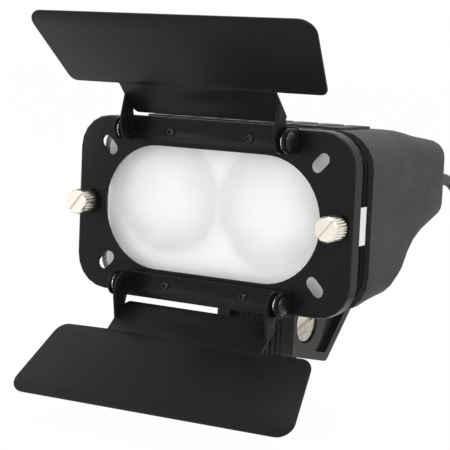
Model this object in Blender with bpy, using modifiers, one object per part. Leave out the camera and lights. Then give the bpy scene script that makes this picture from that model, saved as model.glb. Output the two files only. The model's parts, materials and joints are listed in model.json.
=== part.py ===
"""On-camera video light with two lamps behind a frosted glass and two barn doors.

Units are metres and +Z is up. The light faces -Y, and the origin is the centre of the
underside of the accessory shoe foot. Everything above the tilt axis belongs to the head.
"""

import math

import bmesh
import bpy
from mathutils import Matrix, Vector

# Clearances
GAP = 0.0003
MERGE = 0.000001
CUT_OVER = 0.002

# Where the head sits over the shoe foot: its tilt bracket is to the right of its middle
FRAME_CENTRE_X = -0.0083
FRAME_FRONT_Y = -0.038
LAMP_CENTRE_Z = 0.088

# Door frame: a pressed tray with a window, four slots and two hinge strips
FRAME_WIDTH = 0.1304
FRAME_HEIGHT = 0.073
FRAME_HALF_X = FRAME_WIDTH / 2
FRAME_HALF_Z = FRAME_HEIGHT / 2
FRAME_CORNER = 0.014
FRAME_DEPTH = 0.0068
FRAME_SHEET = 0.0011
FRAME_EDGE = 0.0012
WINDOW_BORDER_X = 0.0139
WINDOW_BORDER_Z = 0.01095
WINDOW_HALF_X = FRAME_HALF_X - WINDOW_BORDER_X
WINDOW_HALF_Z = FRAME_HALF_Z - WINDOW_BORDER_Z
SLOT_X = FRAME_HALF_X - 0.0151
SLOT_Z = FRAME_HALF_Z - 0.0123
SLOT_RADIUS = 0.0026
SLOT_LENGTH = 0.0092

# Hinge strips and their rivets
STRIP_SHEET = 0.0011
STRIP_OUTER_Z = FRAME_HALF_Z - 0.0007
STRIP_INNER_Z = STRIP_OUTER_Z - 0.0088
STRIP_HALF = 0.0403
STRIP_EAR_INSET = 0.0005
STRIP_EAR_STEP = 0.0001
STRIP_RIVET_X = 0.0187
STRIP_RIVET_Z = STRIP_OUTER_Z - 0.0043
STRIP_RIVET_SHANK = 0.0012
STRIP_RIVET_HEAD = 0.0017
HINGE_Y = -0.0070
HINGE_Z = FRAME_HALF_Z - 0.0045
HINGE_EAR = 0.0049
HINGE_SHANK = 0.0016
HINGE_HEAD = 0.0038
WASHER_SHEET = 0.0005
WASHER_RADIUS = 0.0040

# Barn door leaves
LEAF_SHEET = 0.0010
LEAF_OFFSET = 0.0070
LEAF_START = 0.0010
LEAF_SHOULDER = 0.0186
LEAF_LENGTH = 0.0552
LEAF_NECK_HALF = STRIP_HALF - 0.0021
LEAF_INNER_HALF = LEAF_NECK_HALF + 0.0216
LEAF_OUTER_HALF = LEAF_INNER_HALF + 0.0065
LEAF_INNER_CORNER = 0.0034
LEAF_OUTER_CORNER = 0.0062
LEAF_EAR = 0.0045
LEAF_CHAMFER = 0.0024
LEAF_SLANT = 0.0004
LEAF_BEND = 0.0010
LEAF_EAR_STEP = 0.0001
LEAF_TOP_ANGLE = math.radians(41.9)
LEAF_BOTTOM_ANGLE = math.radians(48.6)
# The lower door's free edge is a little out of true, as if knocked
LEAF_BOTTOM_SKEW = math.radians(-0.8)

# Frame thumbscrews and the bent steel brackets that they screw into
THUMB_X = FRAME_HALF_X - 0.0059
THUMB_RADIUS = 0.0052
THUMB_FRONT = 0.0102
THUMB_COLLAR = 0.0032
THUMB_SHANK = 0.0020
THUMB_TEETH = 26
THUMB_TOOTH = 0.00045
THUMB_REACH = 0.0062
BRACKET_SHEET = 0.0012
BRACKET_PLAY = 0.0006
BRACKET_OUTER_X = FRAME_HALF_X - FRAME_SHEET - BRACKET_PLAY
BRACKET_FRONT_X = THUMB_X - 0.0037
BRACKET_REAR_X = BRACKET_OUTER_X - 0.0060
BRACKET_HALF_HEIGHT = 0.0075

# Glass, its pressed frame, and the black bezel behind them
GLASS_FRONT_Y = 0.0057
GLASS_THICK = 0.0022
GLASS_HALF_X = FRAME_HALF_X - 0.0102
GLASS_HALF_Z = FRAME_HALF_Z - 0.0050
GLASS_CORNER = 0.0080
GLASS_LIP = 0.0017
GLASS_FRAME_SHEET = 0.0007
BEZEL_BACK_Y = 0.0200
BEZEL_FLANGE_Y = 0.0165
BEZEL_WALL = 0.0032
BEZEL_MOUTH_X = GLASS_HALF_X + GAP + GLASS_FRAME_SHEET - BEZEL_WALL

# Housing
HOUSING_FRONT_Y = 0.0185
HOUSING_BACK_Y = 0.0866
HOUSING_HALF_X = FRAME_HALF_X - 0.0012
HOUSING_TOP_Z = FRAME_HALF_Z - 0.0005
HOUSING_WALL = 0.0025
HOUSING_CORNER = 0.0150
HOUSING_REAR_ROUND = 0.0035
# Each section: distance back, top, underside, upper corner, lower corner
HOUSING_SECTIONS = (
    (HOUSING_FRONT_Y, HOUSING_TOP_Z, -HOUSING_TOP_Z, HOUSING_CORNER, HOUSING_CORNER),
    (0.0225, HOUSING_TOP_Z, -HOUSING_TOP_Z, HOUSING_CORNER, HOUSING_CORNER),
    (0.0290, HOUSING_TOP_Z, -0.0347, HOUSING_CORNER, HOUSING_CORNER),
    (0.0370, HOUSING_TOP_Z, -0.0334, HOUSING_CORNER, 0.0145),
    (0.0440, HOUSING_TOP_Z, -0.0322, HOUSING_CORNER, 0.0135),
    (0.0495, HOUSING_TOP_Z, -0.0278, 0.0148, 0.0120),
    (0.0540, HOUSING_TOP_Z - 0.0002, -0.0206, 0.0142, 0.0110),
    (0.0600, HOUSING_TOP_Z - 0.0007, -0.0138, 0.0129, 0.0095),
    (0.0670, HOUSING_TOP_Z - 0.0022, -0.0091, 0.0114, 0.0085),
    (0.0750, HOUSING_TOP_Z - 0.0035, -0.0059, 0.0097, 0.0080),
    (HOUSING_BACK_Y - HOUSING_REAR_ROUND, HOUSING_TOP_Z - 0.0047, -0.0029, 0.0075, 0.0077),
)
RIB_COUNT = 8
RIB_PITCH = 0.0120
RIB_WIDTH = 0.0094
RIB_HEIGHT = 0.0010
RIB_FRONT_Y = 0.0215
RIB_BACK_Y = 0.0480

# Lamps: two side by side fill the bezel's mouth
LAMP_PLAY = 0.0008
LAMP_X = (BEZEL_MOUTH_X - LAMP_PLAY) / 2
LAMP_RIM = LAMP_X - LAMP_PLAY
LAMP_RIM_DEPTH = 0.0022
LAMP_BOWL = LAMP_RIM - 0.0027
LAMP_NECK = 0.0080
LAMP_DEPTH = 0.0360
LAMP_WALL = 0.0016
CAPSULE_RADIUS = 0.0045
LAMP_PLATE_SHEET = 0.0012
SOCKET_WIDTH = 0.0200
SOCKET_HEIGHT = 0.0120
SOCKET_DEPTH = 0.0120

# Rear switches, strain relief, cord and housing screws
SWITCH_X = (-0.0320, -0.0040)
SWITCH_Z = 0.0135
SWITCH_WIDTH = 0.0210
SWITCH_HEIGHT = 0.0150
SWITCH_BORDER = 0.0012
SWITCH_PROUD = 0.0018
SWITCH_DEPTH = 0.0110
ROCKER_HALF = 0.0079
ROCKER_HEIGHT = 0.0104
ROCKER_PROUD = 0.0036
ROCKER_TILT = math.radians(8)
REAR_SCREW_X = HOUSING_HALF_X - 0.0088
REAR_SCREW_Z = 0.0140
REAR_SCREW_HEAD = 0.0028
REAR_SCREW_SHANK = 0.0015
CORD_X = HOUSING_HALF_X - 0.0190
CORD_Z = 0.0120
CORD_DIAMETER = 0.0052
RELIEF_LENGTH = 0.0220
RELIEF_FLANGE = 0.0062
RELIEF_BASE = 0.0050
RELIEF_TIP = 0.0037
RELIEF_NECK = 0.0042

# Tilt bracket under the housing
TILT_Y = 0.0380
TILT_Z = -0.0460
CHEEK_OUTER_X = 0.0187
CHEEK_THICK = 0.0060
CHEEK_FRONT_Y = 0.0268
CHEEK_CORNERS = (
    (0.0268, -0.0588, 0.0010),
    (0.0560, -0.0649, 0.0035),
    (0.0790, -0.0420, 0.0080),
)
CHEEK_BACK_Y = 0.0790
CHEEK_BORDER = 0.0036
CHEEK_POCKET = 0.0034
CHEEK_BOSS = 0.0153
CHEEK_RECESS = 0.0086
CHEEK_WEB = 0.0010
BRACKET_ROOF = 0.0024
ROOF_INSET = 0.0008
TILT_SCREW_HEAD = 0.0038
TILT_SHANK = 0.0030
COIN_SLOT = 0.0020
COIN_SLOT_DEPTH = 0.0012
COIN_SLOT_ANGLE = math.radians(18)
NUT_RADIUS = 0.0062
NUT_THICK = 0.0032

# Foot: stem block between the cheeks, lock wheel and shoe plate
STEM_RADIUS = 0.0090
STEM_BLOCK_BOTTOM_Z = 0.0260
STEM_NECK_X = 0.0110
STEM_NECK_Y = 0.0080
STEM_BOTTOM_Z = 0.0108
STEM_RIB_PITCH = 0.0026
STEM_RIB = 0.0005
WHEEL_RADIUS = 0.0120
WHEEL_TEETH = 36
WHEEL_TOOTH = 0.0006
WHEEL_THICK = 0.0062
SHOE_WIDTH = 0.0186
SHOE_LENGTH = 0.0180
SHOE_THICK = 0.0020
STUD_RADIUS = 0.0040
STUD_REACH = 0.0070

# The cord's loose run, from the strain relief down to its coil
CORD_RUN = (
    (0.0367, 0.0709, 0.1000),
    (0.0367, 0.0770, 0.1000),
    (0.0367, 0.0836, 0.0998),
    (0.0367, 0.0941, 0.0977),
    (0.0367, 0.1031, 0.0917),
    (0.0367, 0.1090, 0.0828),
    (0.0367, 0.1111, 0.0723),
    (0.0367, 0.1111, 0.0590),
    (0.0365, 0.1111, 0.0450),
    (0.0360, 0.1111, 0.0314),
    (0.0351, 0.1132, 0.0209),
    (0.0338, 0.1192, 0.0119),
    (0.0318, 0.1281, 0.0060),
)
COIL_X = 0.0660
COIL_Y = 0.1500
COIL_RADIUS = 0.0355
COIL_PITCH = 0.0058
COIL_LAYER = 0.0058
COIL_BULGE = 0.35
COIL_LIFT = 0.0013
COIL_TURNS = 2.0
COIL_STEPS = 24
COIL_TAIL = 0.0120
TIE_WIDTH = 0.0080
TIE_SHEET = 0.0006
TIE_ANGLE = math.radians(270)
TIE_DEPTH = 1.25
PLUG_RADIUS = 0.0095
PLUG_LENGTH = 0.0420
BOOT_LENGTH = 0.0180
PIN_CIRCLE = 0.0042

HEAD = Vector((FRAME_CENTRE_X, FRAME_FRONT_Y, LAMP_CENTRE_Z))
FACING_FRONT = Matrix.Rotation(math.radians(90), 4, "X")
FACING_SIDE = Matrix.Rotation(math.radians(90), 4, "Z") @ FACING_FRONT
FACING_UP = Matrix.Identity(4)

COLOURS = {
    "black_paint": ((0.022, 0.022, 0.020), 0.42, 0.0),
    "black_plastic": ((0.020, 0.020, 0.020), 0.40, 0.0),
    "bracket_plastic": ((0.045, 0.045, 0.042), 0.45, 0.0),
    "charcoal_plastic": ((0.060, 0.058, 0.055), 0.62, 0.0),
    "nickel": ((0.78, 0.74, 0.68), 0.25, 1.0),
    "steel": ((0.72, 0.72, 0.73), 0.22, 1.0),
    "black_rivet": ((0.018, 0.018, 0.018), 0.22, 0.3),
    "frosted_glass": ((0.86, 0.87, 0.87), 0.50, 0.0),
    "lamp_mirror": ((0.90, 0.90, 0.90), 0.12, 1.0),
    "lamp_glass": ((0.92, 0.94, 0.96), 0.08, 0.0),
    "ceramic": ((0.80, 0.78, 0.74), 0.55, 0.0),
    "cord_rubber": ((0.020, 0.020, 0.021), 0.50, 0.0),
}


def start_scene():
    """Empties the scene, and makes the collections of parts and of cutters."""
    for obj in list(bpy.data.objects):
        bpy.data.objects.remove(obj)
    made = []
    for name in ("video_light", "cutters"):
        collection = bpy.data.collections.new(name)
        bpy.context.scene.collection.children.link(collection)
        made.append(collection)
    return made


PARTS, CUTTERS = start_scene()


def material(name):
    """The Principled material of that name, made on first use."""
    if name in bpy.data.materials:
        return bpy.data.materials[name]
    colour, roughness, metallic = COLOURS[name]
    made = bpy.data.materials.new(name)
    made.use_nodes = True
    shader = made.node_tree.nodes["Principled BSDF"]
    shader.inputs["Base Color"].default_value = (*colour, 1.0)
    shader.inputs["Roughness"].default_value = roughness
    shader.inputs["Metallic"].default_value = metallic
    return made


def finished(name, mesh, finish, matrix):
    """An object of the model, or a cutter where finish is None."""
    clean = bmesh.new()
    clean.from_mesh(mesh)
    bmesh.ops.remove_doubles(clean, verts=clean.verts, dist=MERGE)
    bmesh.ops.recalc_face_normals(clean, faces=clean.faces)
    clean.to_mesh(mesh)
    clean.free()
    obj = bpy.data.objects.new(name, mesh)
    obj.matrix_world = matrix
    if finish is None:
        CUTTERS.objects.link(obj)
        obj.hide_render = True
        obj.display_type = "WIRE"
    else:
        PARTS.objects.link(obj)
        mesh.materials.clear()
        mesh.materials.append(material(finish))
    mesh.shade_smooth()
    mesh.set_sharp_from_angle(angle=math.radians(32))
    return obj


def evaluated_mesh(obj):
    """The object's mesh with its modifiers applied; the object itself is removed."""
    bpy.context.view_layer.update()
    graph = bpy.context.evaluated_depsgraph_get()
    mesh = bpy.data.meshes.new_from_object(obj.evaluated_get(graph))
    data = obj.data
    bpy.data.objects.remove(obj)
    if isinstance(data, bpy.types.Curve):
        bpy.data.curves.remove(data)
    return mesh


def arc(centre, radius, start, end, steps):
    """Points on an arc, both ends included, from angle start to angle end in degrees."""
    points = []
    for i in range(steps + 1):
        angle = math.radians(start + (end - start) * i / steps)
        points.append((centre[0] + radius * math.cos(angle), centre[1] + radius * math.sin(angle)))
    return points


def rounded_rectangle(half_x, half_y, radius, steps=5, centre=(0, 0)):
    """The outline of a rectangle with round corners."""
    points = []
    for sign_x, sign_y, start in ((1, 1, 0), (-1, 1, 90), (-1, -1, 180), (1, -1, 270)):
        corner = (
            centre[0] + sign_x * (half_x - radius),
            centre[1] + sign_y * (half_y - radius),
        )
        points += arc(corner, radius, start, start + 90, steps)
    return points


def circle(radius, steps=32, centre=(0, 0)):
    """The outline of a circle."""
    return arc(centre, radius, 0, 360, steps)[:-1]


def obround(length, radius, angle, centre):
    """A slot's outline: two half circles, length long over all, turned by angle degrees."""
    reach = length / 2 - radius
    along = (math.cos(math.radians(angle)) * reach, math.sin(math.radians(angle)) * reach)
    ahead = (centre[0] + along[0], centre[1] + along[1])
    behind = (centre[0] - along[0], centre[1] - along[1])
    return arc(ahead, radius, angle - 90, angle + 90, 6) + arc(behind, radius, angle + 90, angle + 270, 6)


def toothed(radius, depth, teeth):
    """A knurl's outline, a point at each crest and each root."""
    points = []
    for i in range(2 * teeth):
        angle = math.pi * i / teeth
        reach = radius - depth * (i % 2)
        points.append((reach * math.cos(angle), reach * math.sin(angle)))
    return points


def rounded_polygon(corners, steps=5):
    """The outline through corners (x, y, radius), each corner rounded to its radius."""
    points = []
    count = len(corners)
    for i, (x, y, radius) in enumerate(corners):
        here = Vector((x, y))
        back = (Vector(corners[i - 1][:2]) - here).normalized()
        ahead = (Vector(corners[(i + 1) % count][:2]) - here).normalized()
        if radius <= 0:
            points.append((x, y))
            continue
        half = math.acos(max(-1.0, min(1.0, back.dot(ahead)))) / 2
        centre = here + (back + ahead).normalized() * radius / math.sin(half)
        first = here + back * radius / math.tan(half) - centre
        last = here + ahead * radius / math.tan(half) - centre
        start = math.atan2(first.y, first.x)
        sweep = math.atan2(first.x * last.y - first.y * last.x, first.dot(last))
        for k in range(steps + 1):
            angle = start + sweep * k / steps
            points.append((centre.x + radius * math.cos(angle), centre.y + radius * math.sin(angle)))
    return points


def slab(name, loops, thickness, finish, facing, place, edge=0.0, edge_steps=2):
    """A flat outline, less the loops inside it, made thick about its own plane.

    The outline's normal is local +Z. edge rounds the rim of the face on that side.
    """
    curve = bpy.data.curves.new(name, "CURVE")
    curve.dimensions = "2D"
    curve.fill_mode = "BOTH"
    curve.extrude = thickness / 2
    for loop in loops:
        spline = curve.splines.new("POLY")
        spline.points.add(len(loop) - 1)
        spline.use_cyclic_u = True
        for point, (x, y) in zip(spline.points, loop):
            point.co = (x, y, 0, 1)
    guide = bpy.data.objects.new(name, curve)
    CUTTERS.objects.link(guide)
    mesh = evaluated_mesh(guide)
    if edge:
        round_front(mesh, thickness / 2, edge, edge_steps)
    return finished(name, mesh, finish, Matrix.Translation(place) @ facing)


def round_front(mesh, height, radius, steps):
    """Rounds the rim of the flat face at local z = height."""
    shape = bmesh.new()
    shape.from_mesh(mesh)
    bmesh.ops.remove_doubles(shape, verts=shape.verts, dist=MERGE)
    bmesh.ops.recalc_face_normals(shape, faces=shape.faces)
    face_top = [f for f in shape.faces if f.normal.z > 0.9 and abs(f.calc_center_median().z - height) < MERGE]
    bmesh.ops.dissolve_faces(shape, faces=face_top)
    rim = [
        e
        for e in shape.edges
        if all(abs(v.co.z - height) < MERGE for v in e.verts)
        and any(abs(f.normal.z) < 0.5 for f in e.link_faces)
    ]
    bmesh.ops.bevel(shape, geom=rim, offset=radius, segments=steps, profile=0.5, affect="EDGES")
    shape.to_mesh(mesh)
    shape.free()


def turned(name, profile, finish, facing, place, steps=32):
    """A profile of (radius, height) points turned about local Z."""
    mesh = bpy.data.meshes.new(name)
    closed = profile[0][0] > 0
    edges = [(i, i + 1) for i in range(len(profile) - 1)]
    if closed:
        edges.append((len(profile) - 1, 0))
    mesh.from_pydata([(r, 0, z) for r, z in profile], edges, [])
    guide = bpy.data.objects.new(name, mesh)
    CUTTERS.objects.link(guide)
    screw = guide.modifiers.new("turn", "SCREW")
    screw.steps = steps
    screw.render_steps = steps
    screw.use_merge_vertices = True
    screw.merge_threshold = MERGE
    return finished(name, evaluated_mesh(guide), finish, Matrix.Translation(place) @ facing)


def box(name, size, finish, place, facing=FACING_UP):
    """A plain box, from Blender's cube."""
    shape = bmesh.new()
    bmesh.ops.create_cube(shape, size=1.0)
    bmesh.ops.scale(shape, vec=size, verts=shape.verts)
    mesh = bpy.data.meshes.new(name)
    shape.to_mesh(mesh)
    shape.free()
    return finished(name, mesh, finish, Matrix.Translation(place) @ facing)


def cylinder(name, radius, length, facing, place, steps=32):
    """A cutter for a round hole, along local Z and centred on place."""
    half = length / 2
    return turned(name, [(0, half), (radius, half), (radius, -half), (0, -half)], None, facing, place, steps)


def combine(obj, other, operation):
    """A Boolean with a cutter or a joined shape, which stays hidden in its collection."""
    step = obj.modifiers.new(other.name, "BOOLEAN")
    step.operation = operation
    step.object = other
    step.solver = "EXACT"
    return obj


def cut(obj, other):
    return combine(obj, other, "DIFFERENCE")


def join(obj, other):
    return combine(obj, other, "UNION")


def on_head(x, y, z):
    """A place given from the centre of the door frame's front face."""
    return HEAD + Vector((x, y, z))


def on_bracket(x, y, z):
    """A place given from the tilt bracket's middle, on the head's own y and z."""
    return on_head(x - FRAME_CENTRE_X, y, z)


def section_at(y):
    """Top, underside and corners of the housing at y, straight between its sections."""
    for near, far in zip(HOUSING_SECTIONS, HOUSING_SECTIONS[1:]):
        if y <= far[0]:
            share = (y - near[0]) / (far[0] - near[0])
            return [a + (b - a) * share for a, b in zip(near[1:], far[1:])]
    return list(HOUSING_SECTIONS[-1][1:])


def underside(y):
    """Height of the housing's underside at its middle."""
    return section_at(y)[1]


def door_frame():
    """The pressed tray that carries both doors and slips over the bezel."""
    middle = FRAME_DEPTH / 2
    outer = rounded_rectangle(FRAME_HALF_X, FRAME_HALF_Z, FRAME_CORNER)
    frame = slab(
        "door_frame", [outer], FRAME_DEPTH, "black_paint",
        FACING_FRONT, on_head(0, middle, 0), FRAME_EDGE,
    )
    inner = rounded_rectangle(
        FRAME_HALF_X - FRAME_SHEET, FRAME_HALF_Z - FRAME_SHEET, FRAME_CORNER - FRAME_SHEET
    )
    hollow = slab(
        "frame_hollow", [inner], FRAME_DEPTH, None, FACING_FRONT,
        on_head(0, middle + FRAME_SHEET, 0), FRAME_EDGE - FRAME_SHEET + GAP,
    )
    cut(frame, hollow)
    loops = [rounded_rectangle(WINDOW_HALF_X, WINDOW_HALF_Z, WINDOW_HALF_Z, 12)]
    for side_x in (-1, 1):
        loops.append(circle(THUMB_SHANK + GAP, 20, (side_x * THUMB_X, 0)))
        for side_z in (-1, 1):
            place = (side_x * SLOT_X, side_z * SLOT_Z)
            loops.append(obround(SLOT_LENGTH, SLOT_RADIUS, 45 * side_x * side_z, place))
            rivet = (side_x * STRIP_RIVET_X, side_z * STRIP_RIVET_Z)
            loops.append(circle(STRIP_RIVET_SHANK + GAP, 16, rivet))
    holes = slab("frame_holes", loops, FRAME_DEPTH, None, FACING_FRONT, on_head(0, 0, 0))
    cut(frame, holes)


def hinge_strip(name, side):
    """A flat strip on the frame's front, with an ear bent forward at each end."""
    middle = side * (STRIP_INNER_Z + STRIP_OUTER_Z) / 2
    half_z = (STRIP_OUTER_Z - STRIP_INNER_Z) / 2
    outline = rounded_rectangle(STRIP_HALF, half_z, STRIP_SHEET / 4, 1)
    loops = [outline]
    for side_x in (-1, 1):
        hole = (side_x * STRIP_RIVET_X, side * STRIP_RIVET_Z - middle)
        loops.append(circle(STRIP_RIVET_SHANK + GAP, 16, hole))
    back = -GAP
    strip = slab(
        name, loops, STRIP_SHEET, "black_paint", FACING_FRONT,
        on_head(0, back - STRIP_SHEET / 2, middle),
    )
    root = back - STRIP_SHEET * 0.4
    front = HINGE_Y - HINGE_EAR
    ear = rounded_polygon(
        [
            (root, side * (STRIP_INNER_Z + STRIP_EAR_INSET), 0),
            (front, side * (HINGE_Z - HINGE_EAR), HINGE_EAR * 0.96),
            (front, side * (HINGE_Z + HINGE_EAR), HINGE_EAR * 0.96),
            (root, side * (STRIP_OUTER_Z - STRIP_EAR_INSET), 0),
        ],
        5,
    )
    for side_x in (-1, 1):
        hole = circle(HINGE_SHANK + GAP, 14, (HINGE_Y, side * HINGE_Z))
        flap = slab(
            f"{name}_ear_{side_x}", [ear, hole], STRIP_SHEET, None, FACING_SIDE,
            on_head(side_x * (STRIP_HALF - STRIP_EAR_STEP - STRIP_SHEET / 2), 0, 0),
        )
        join(strip, flap)


def strip_rivet(name, x, z):
    """A low hollow rivet through strip and frame, closed over behind."""
    front = GAP + STRIP_SHEET + GAP
    back = -FRAME_SHEET - GAP
    dome = 0.0008
    profile = [
        (0, front - dome * 0.6),
        (STRIP_RIVET_HEAD * 0.46, front - dome * 0.5),
        (STRIP_RIVET_HEAD * 0.56, front + dome * 0.45),
        (STRIP_RIVET_HEAD * 0.80, front + dome * 0.45),
        (STRIP_RIVET_HEAD, front),
        (STRIP_RIVET_SHANK, front),
        (STRIP_RIVET_SHANK, back),
        (STRIP_RIVET_HEAD, back),
        (STRIP_RIVET_HEAD * 0.8, back - dome * 0.6),
        (0, back - dome * 0.7),
    ]
    turned(name, profile, "black_rivet", FACING_FRONT, on_head(x, 0, z), 16)


def leaf(name, side, angle, skew=0.0):
    """A barn door: a flared sheet on a neck, with two ears bent towards its hinge axis.

    Local Y runs outwards along the sheet, and local Z points away from the lamp for the
    upper door. angle is how far the sheet leans forward from upright, and skew turns the
    flared part in its own plane.
    """
    turn = math.pi / 2 + angle if side > 0 else 1.5 * math.pi - angle
    plane = -side * LEAF_OFFSET
    neck = LEAF_NECK_HALF
    root = LEAF_START + LEAF_CHAMFER
    right = [
        (neck - LEAF_CHAMFER, LEAF_START, LEAF_BEND),
        (neck, root, LEAF_BEND),
        (neck, LEAF_SHOULDER - LEAF_SLANT, LEAF_BEND),
    ]
    flare = [
        (LEAF_INNER_HALF, LEAF_SHOULDER, LEAF_INNER_CORNER),
        (LEAF_OUTER_HALF, LEAF_LENGTH, LEAF_OUTER_CORNER),
        (-LEAF_OUTER_HALF, LEAF_LENGTH, LEAF_OUTER_CORNER),
        (-LEAF_INNER_HALF, LEAF_SHOULDER, LEAF_INNER_CORNER),
    ]
    turned_flare = []
    for x, y, radius in flare:
        turned_flare.append(
            (x * math.cos(skew) - y * math.sin(skew), x * math.sin(skew) + y * math.cos(skew), radius)
        )
    left = [(-x, y, radius) for x, y, radius in reversed(right)]
    outline = rounded_polygon(right + turned_flare + left, 4)
    matrix = Matrix.Rotation(turn, 4, "X")
    axis = on_head(0, HINGE_Y, side * HINGE_Z)
    lift = matrix @ Vector((0, 0, plane - side * LEAF_SHEET / 2))
    sheet = slab(name, [outline], LEAF_SHEET, "black_paint", matrix, axis + lift)
    height = LEAF_OFFSET + LEAF_SHEET * 0.7
    ear = [(root + LEAF_BEND, -side * height)]
    ear += arc((0, 0), LEAF_EAR, side * 200, side * -40, 10)
    ear.append((LEAF_SHOULDER - 2 * LEAF_BEND, -side * height))
    hole = circle(HINGE_SHANK + GAP, 14)
    across = Matrix.Rotation(math.radians(90), 4, "Z") @ Matrix.Rotation(math.radians(90), 4, "X")
    for side_x in (-1, 1):
        place = axis + matrix @ Vector((side_x * (neck - LEAF_EAR_STEP - LEAF_SHEET / 2), 0, 0))
        flap = slab(f"{name}_ear_{side_x}", [ear, hole], LEAF_SHEET, None, matrix @ across, place)
        join(sheet, flap)
    return sheet


def hinge_rivet(name, side_x, side):
    """The round-headed rivet that a door turns on."""
    outer = STRIP_HALF + GAP
    inner = LEAF_NECK_HALF - LEAF_EAR_STEP - LEAF_SHEET - GAP
    dome = 0.0013
    profile = [
        (0, outer + dome),
        (HINGE_HEAD * 0.55, outer + dome * 0.85),
        (HINGE_HEAD * 0.88, outer + dome * 0.5),
        (HINGE_HEAD, outer),
        (HINGE_SHANK, outer),
        (HINGE_SHANK, inner),
        (HINGE_HEAD * 0.72, inner),
        (HINGE_HEAD * 0.66, inner - dome * 0.5),
        (0, inner - dome * 0.7),
    ]
    facing = Matrix.Rotation(math.radians(90) * side_x, 4, "Y")
    turned(name, profile, "black_rivet", facing, on_head(0, HINGE_Y, side * HINGE_Z), 16)


def hinge_washer(name, side_x, side):
    """The washer that keeps door and strip apart."""
    middle = side_x * (STRIP_HALF - STRIP_EAR_STEP - STRIP_SHEET + LEAF_NECK_HALF - LEAF_EAR_STEP) / 2
    half = WASHER_SHEET / 2
    bore = HINGE_SHANK + GAP
    profile = [(bore, half), (WASHER_RADIUS, half), (WASHER_RADIUS, -half), (bore, -half)]
    facing = Matrix.Rotation(math.radians(90), 4, "Y")
    turned(name, profile, "steel", facing, on_head(middle, HINGE_Y, side * HINGE_Z), 16)


def thumbscrew(name, side):
    """A knurled screw with a coin slot across its face."""
    place = on_head(side * THUMB_X, 0, 0)
    under = GAP + 0.0014
    core = [
        (0, THUMB_FRONT),
        (THUMB_RADIUS - 0.0007, THUMB_FRONT),
        (THUMB_RADIUS - 0.0002, THUMB_FRONT - 0.0006),
        (THUMB_RADIUS - 0.0006, THUMB_FRONT - 0.0012),
        (THUMB_RADIUS - 0.0006, under),
        (THUMB_COLLAR, under),
        (THUMB_COLLAR, GAP),
        (THUMB_SHANK, GAP),
        (THUMB_SHANK, -THUMB_REACH + 0.0006),
        (THUMB_SHANK - 0.0006, -THUMB_REACH),
        (0, -THUMB_REACH),
    ]
    screw = turned(name, core, "nickel", FACING_FRONT, place, 20)
    knurl_front = THUMB_FRONT - 0.0010
    knurl_back = under + 0.0004
    knurl = slab(
        f"{name}_knurl", [toothed(THUMB_RADIUS, THUMB_TOOTH, THUMB_TEETH)], knurl_front - knurl_back,
        None, FACING_FRONT, place - Vector((0, (knurl_front + knurl_back) / 2, 0)),
    )
    join(screw, knurl)
    slot_turn = Matrix.Rotation(math.radians(-50), 4, "Y")
    slot = box(
        f"{name}_slot", (4 * THUMB_RADIUS, 0.0024, 0.0010), None,
        place - Vector((0, THUMB_FRONT, 0)), slot_turn,
    )
    cut(screw, slot)


def frame_bracket(name, side):
    """A steel strip bent to a channel: the thumbscrew's thread is in its front leg."""
    front = FRAME_SHEET + GAP
    back = BEZEL_FLANGE_Y - GAP
    sheet = BRACKET_SHEET
    bend = 0.0014
    corners = [
        (BRACKET_FRONT_X, front, 0.0002),
        (BRACKET_OUTER_X, front, bend),
        (BRACKET_OUTER_X, back, bend),
        (BRACKET_REAR_X, back, 0.0002),
        (BRACKET_REAR_X, back - sheet, 0.0002),
        (BRACKET_OUTER_X - sheet, back - sheet, bend - sheet + 0.0001),
        (BRACKET_OUTER_X - sheet, front + sheet, bend - sheet + 0.0001),
        (BRACKET_FRONT_X, front + sheet, 0.0002),
    ]
    outline = [(side * x, y) for x, y in rounded_polygon(corners, 4)]
    strip = slab(name, [outline], 2 * BRACKET_HALF_HEIGHT, "steel", FACING_UP, on_head(0, 0, 0))
    hole = cylinder(
        f"{name}_hole", THUMB_SHANK + GAP, 0.004, FACING_FRONT, on_head(side * THUMB_X, front, 0), 20
    )
    cut(strip, hole)


def glass_and_frame():
    """The frosted glass, and the pressed steel frame whose lip holds it."""
    outline = rounded_rectangle(GLASS_HALF_X, GLASS_HALF_Z, GLASS_CORNER, 6)
    slab(
        "diffuser_glass", [outline], GLASS_THICK, "frosted_glass", FACING_FRONT,
        on_head(0, GLASS_FRONT_Y + GLASS_THICK / 2, 0),
    )
    sheet = GLASS_FRAME_SHEET
    half_x = GLASS_HALF_X + GAP + sheet
    half_z = GLASS_HALF_Z + GAP + sheet
    front = GLASS_FRONT_Y - GAP - sheet
    depth = GLASS_THICK + 2 * GAP + sheet
    rim = slab(
        "glass_frame", [rounded_rectangle(half_x, half_z, GLASS_CORNER + GAP + sheet, 6)], depth, "steel",
        FACING_FRONT, on_head(0, front + depth / 2, 0), sheet * 0.9, 2,
    )
    seat = slab(
        "glass_seat", [rounded_rectangle(GLASS_HALF_X + GAP, GLASS_HALF_Z + GAP, GLASS_CORNER + GAP, 6)],
        depth, None, FACING_FRONT, on_head(0, front + sheet + depth / 2, 0),
    )
    cut(rim, seat)
    opening = slab(
        "glass_opening",
        [rounded_rectangle(GLASS_HALF_X - GLASS_LIP, GLASS_HALF_Z - GLASS_LIP, GLASS_CORNER - GLASS_LIP, 6)],
        2 * depth, None, FACING_FRONT, on_head(0, front, 0),
    )
    cut(rim, opening)


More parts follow.
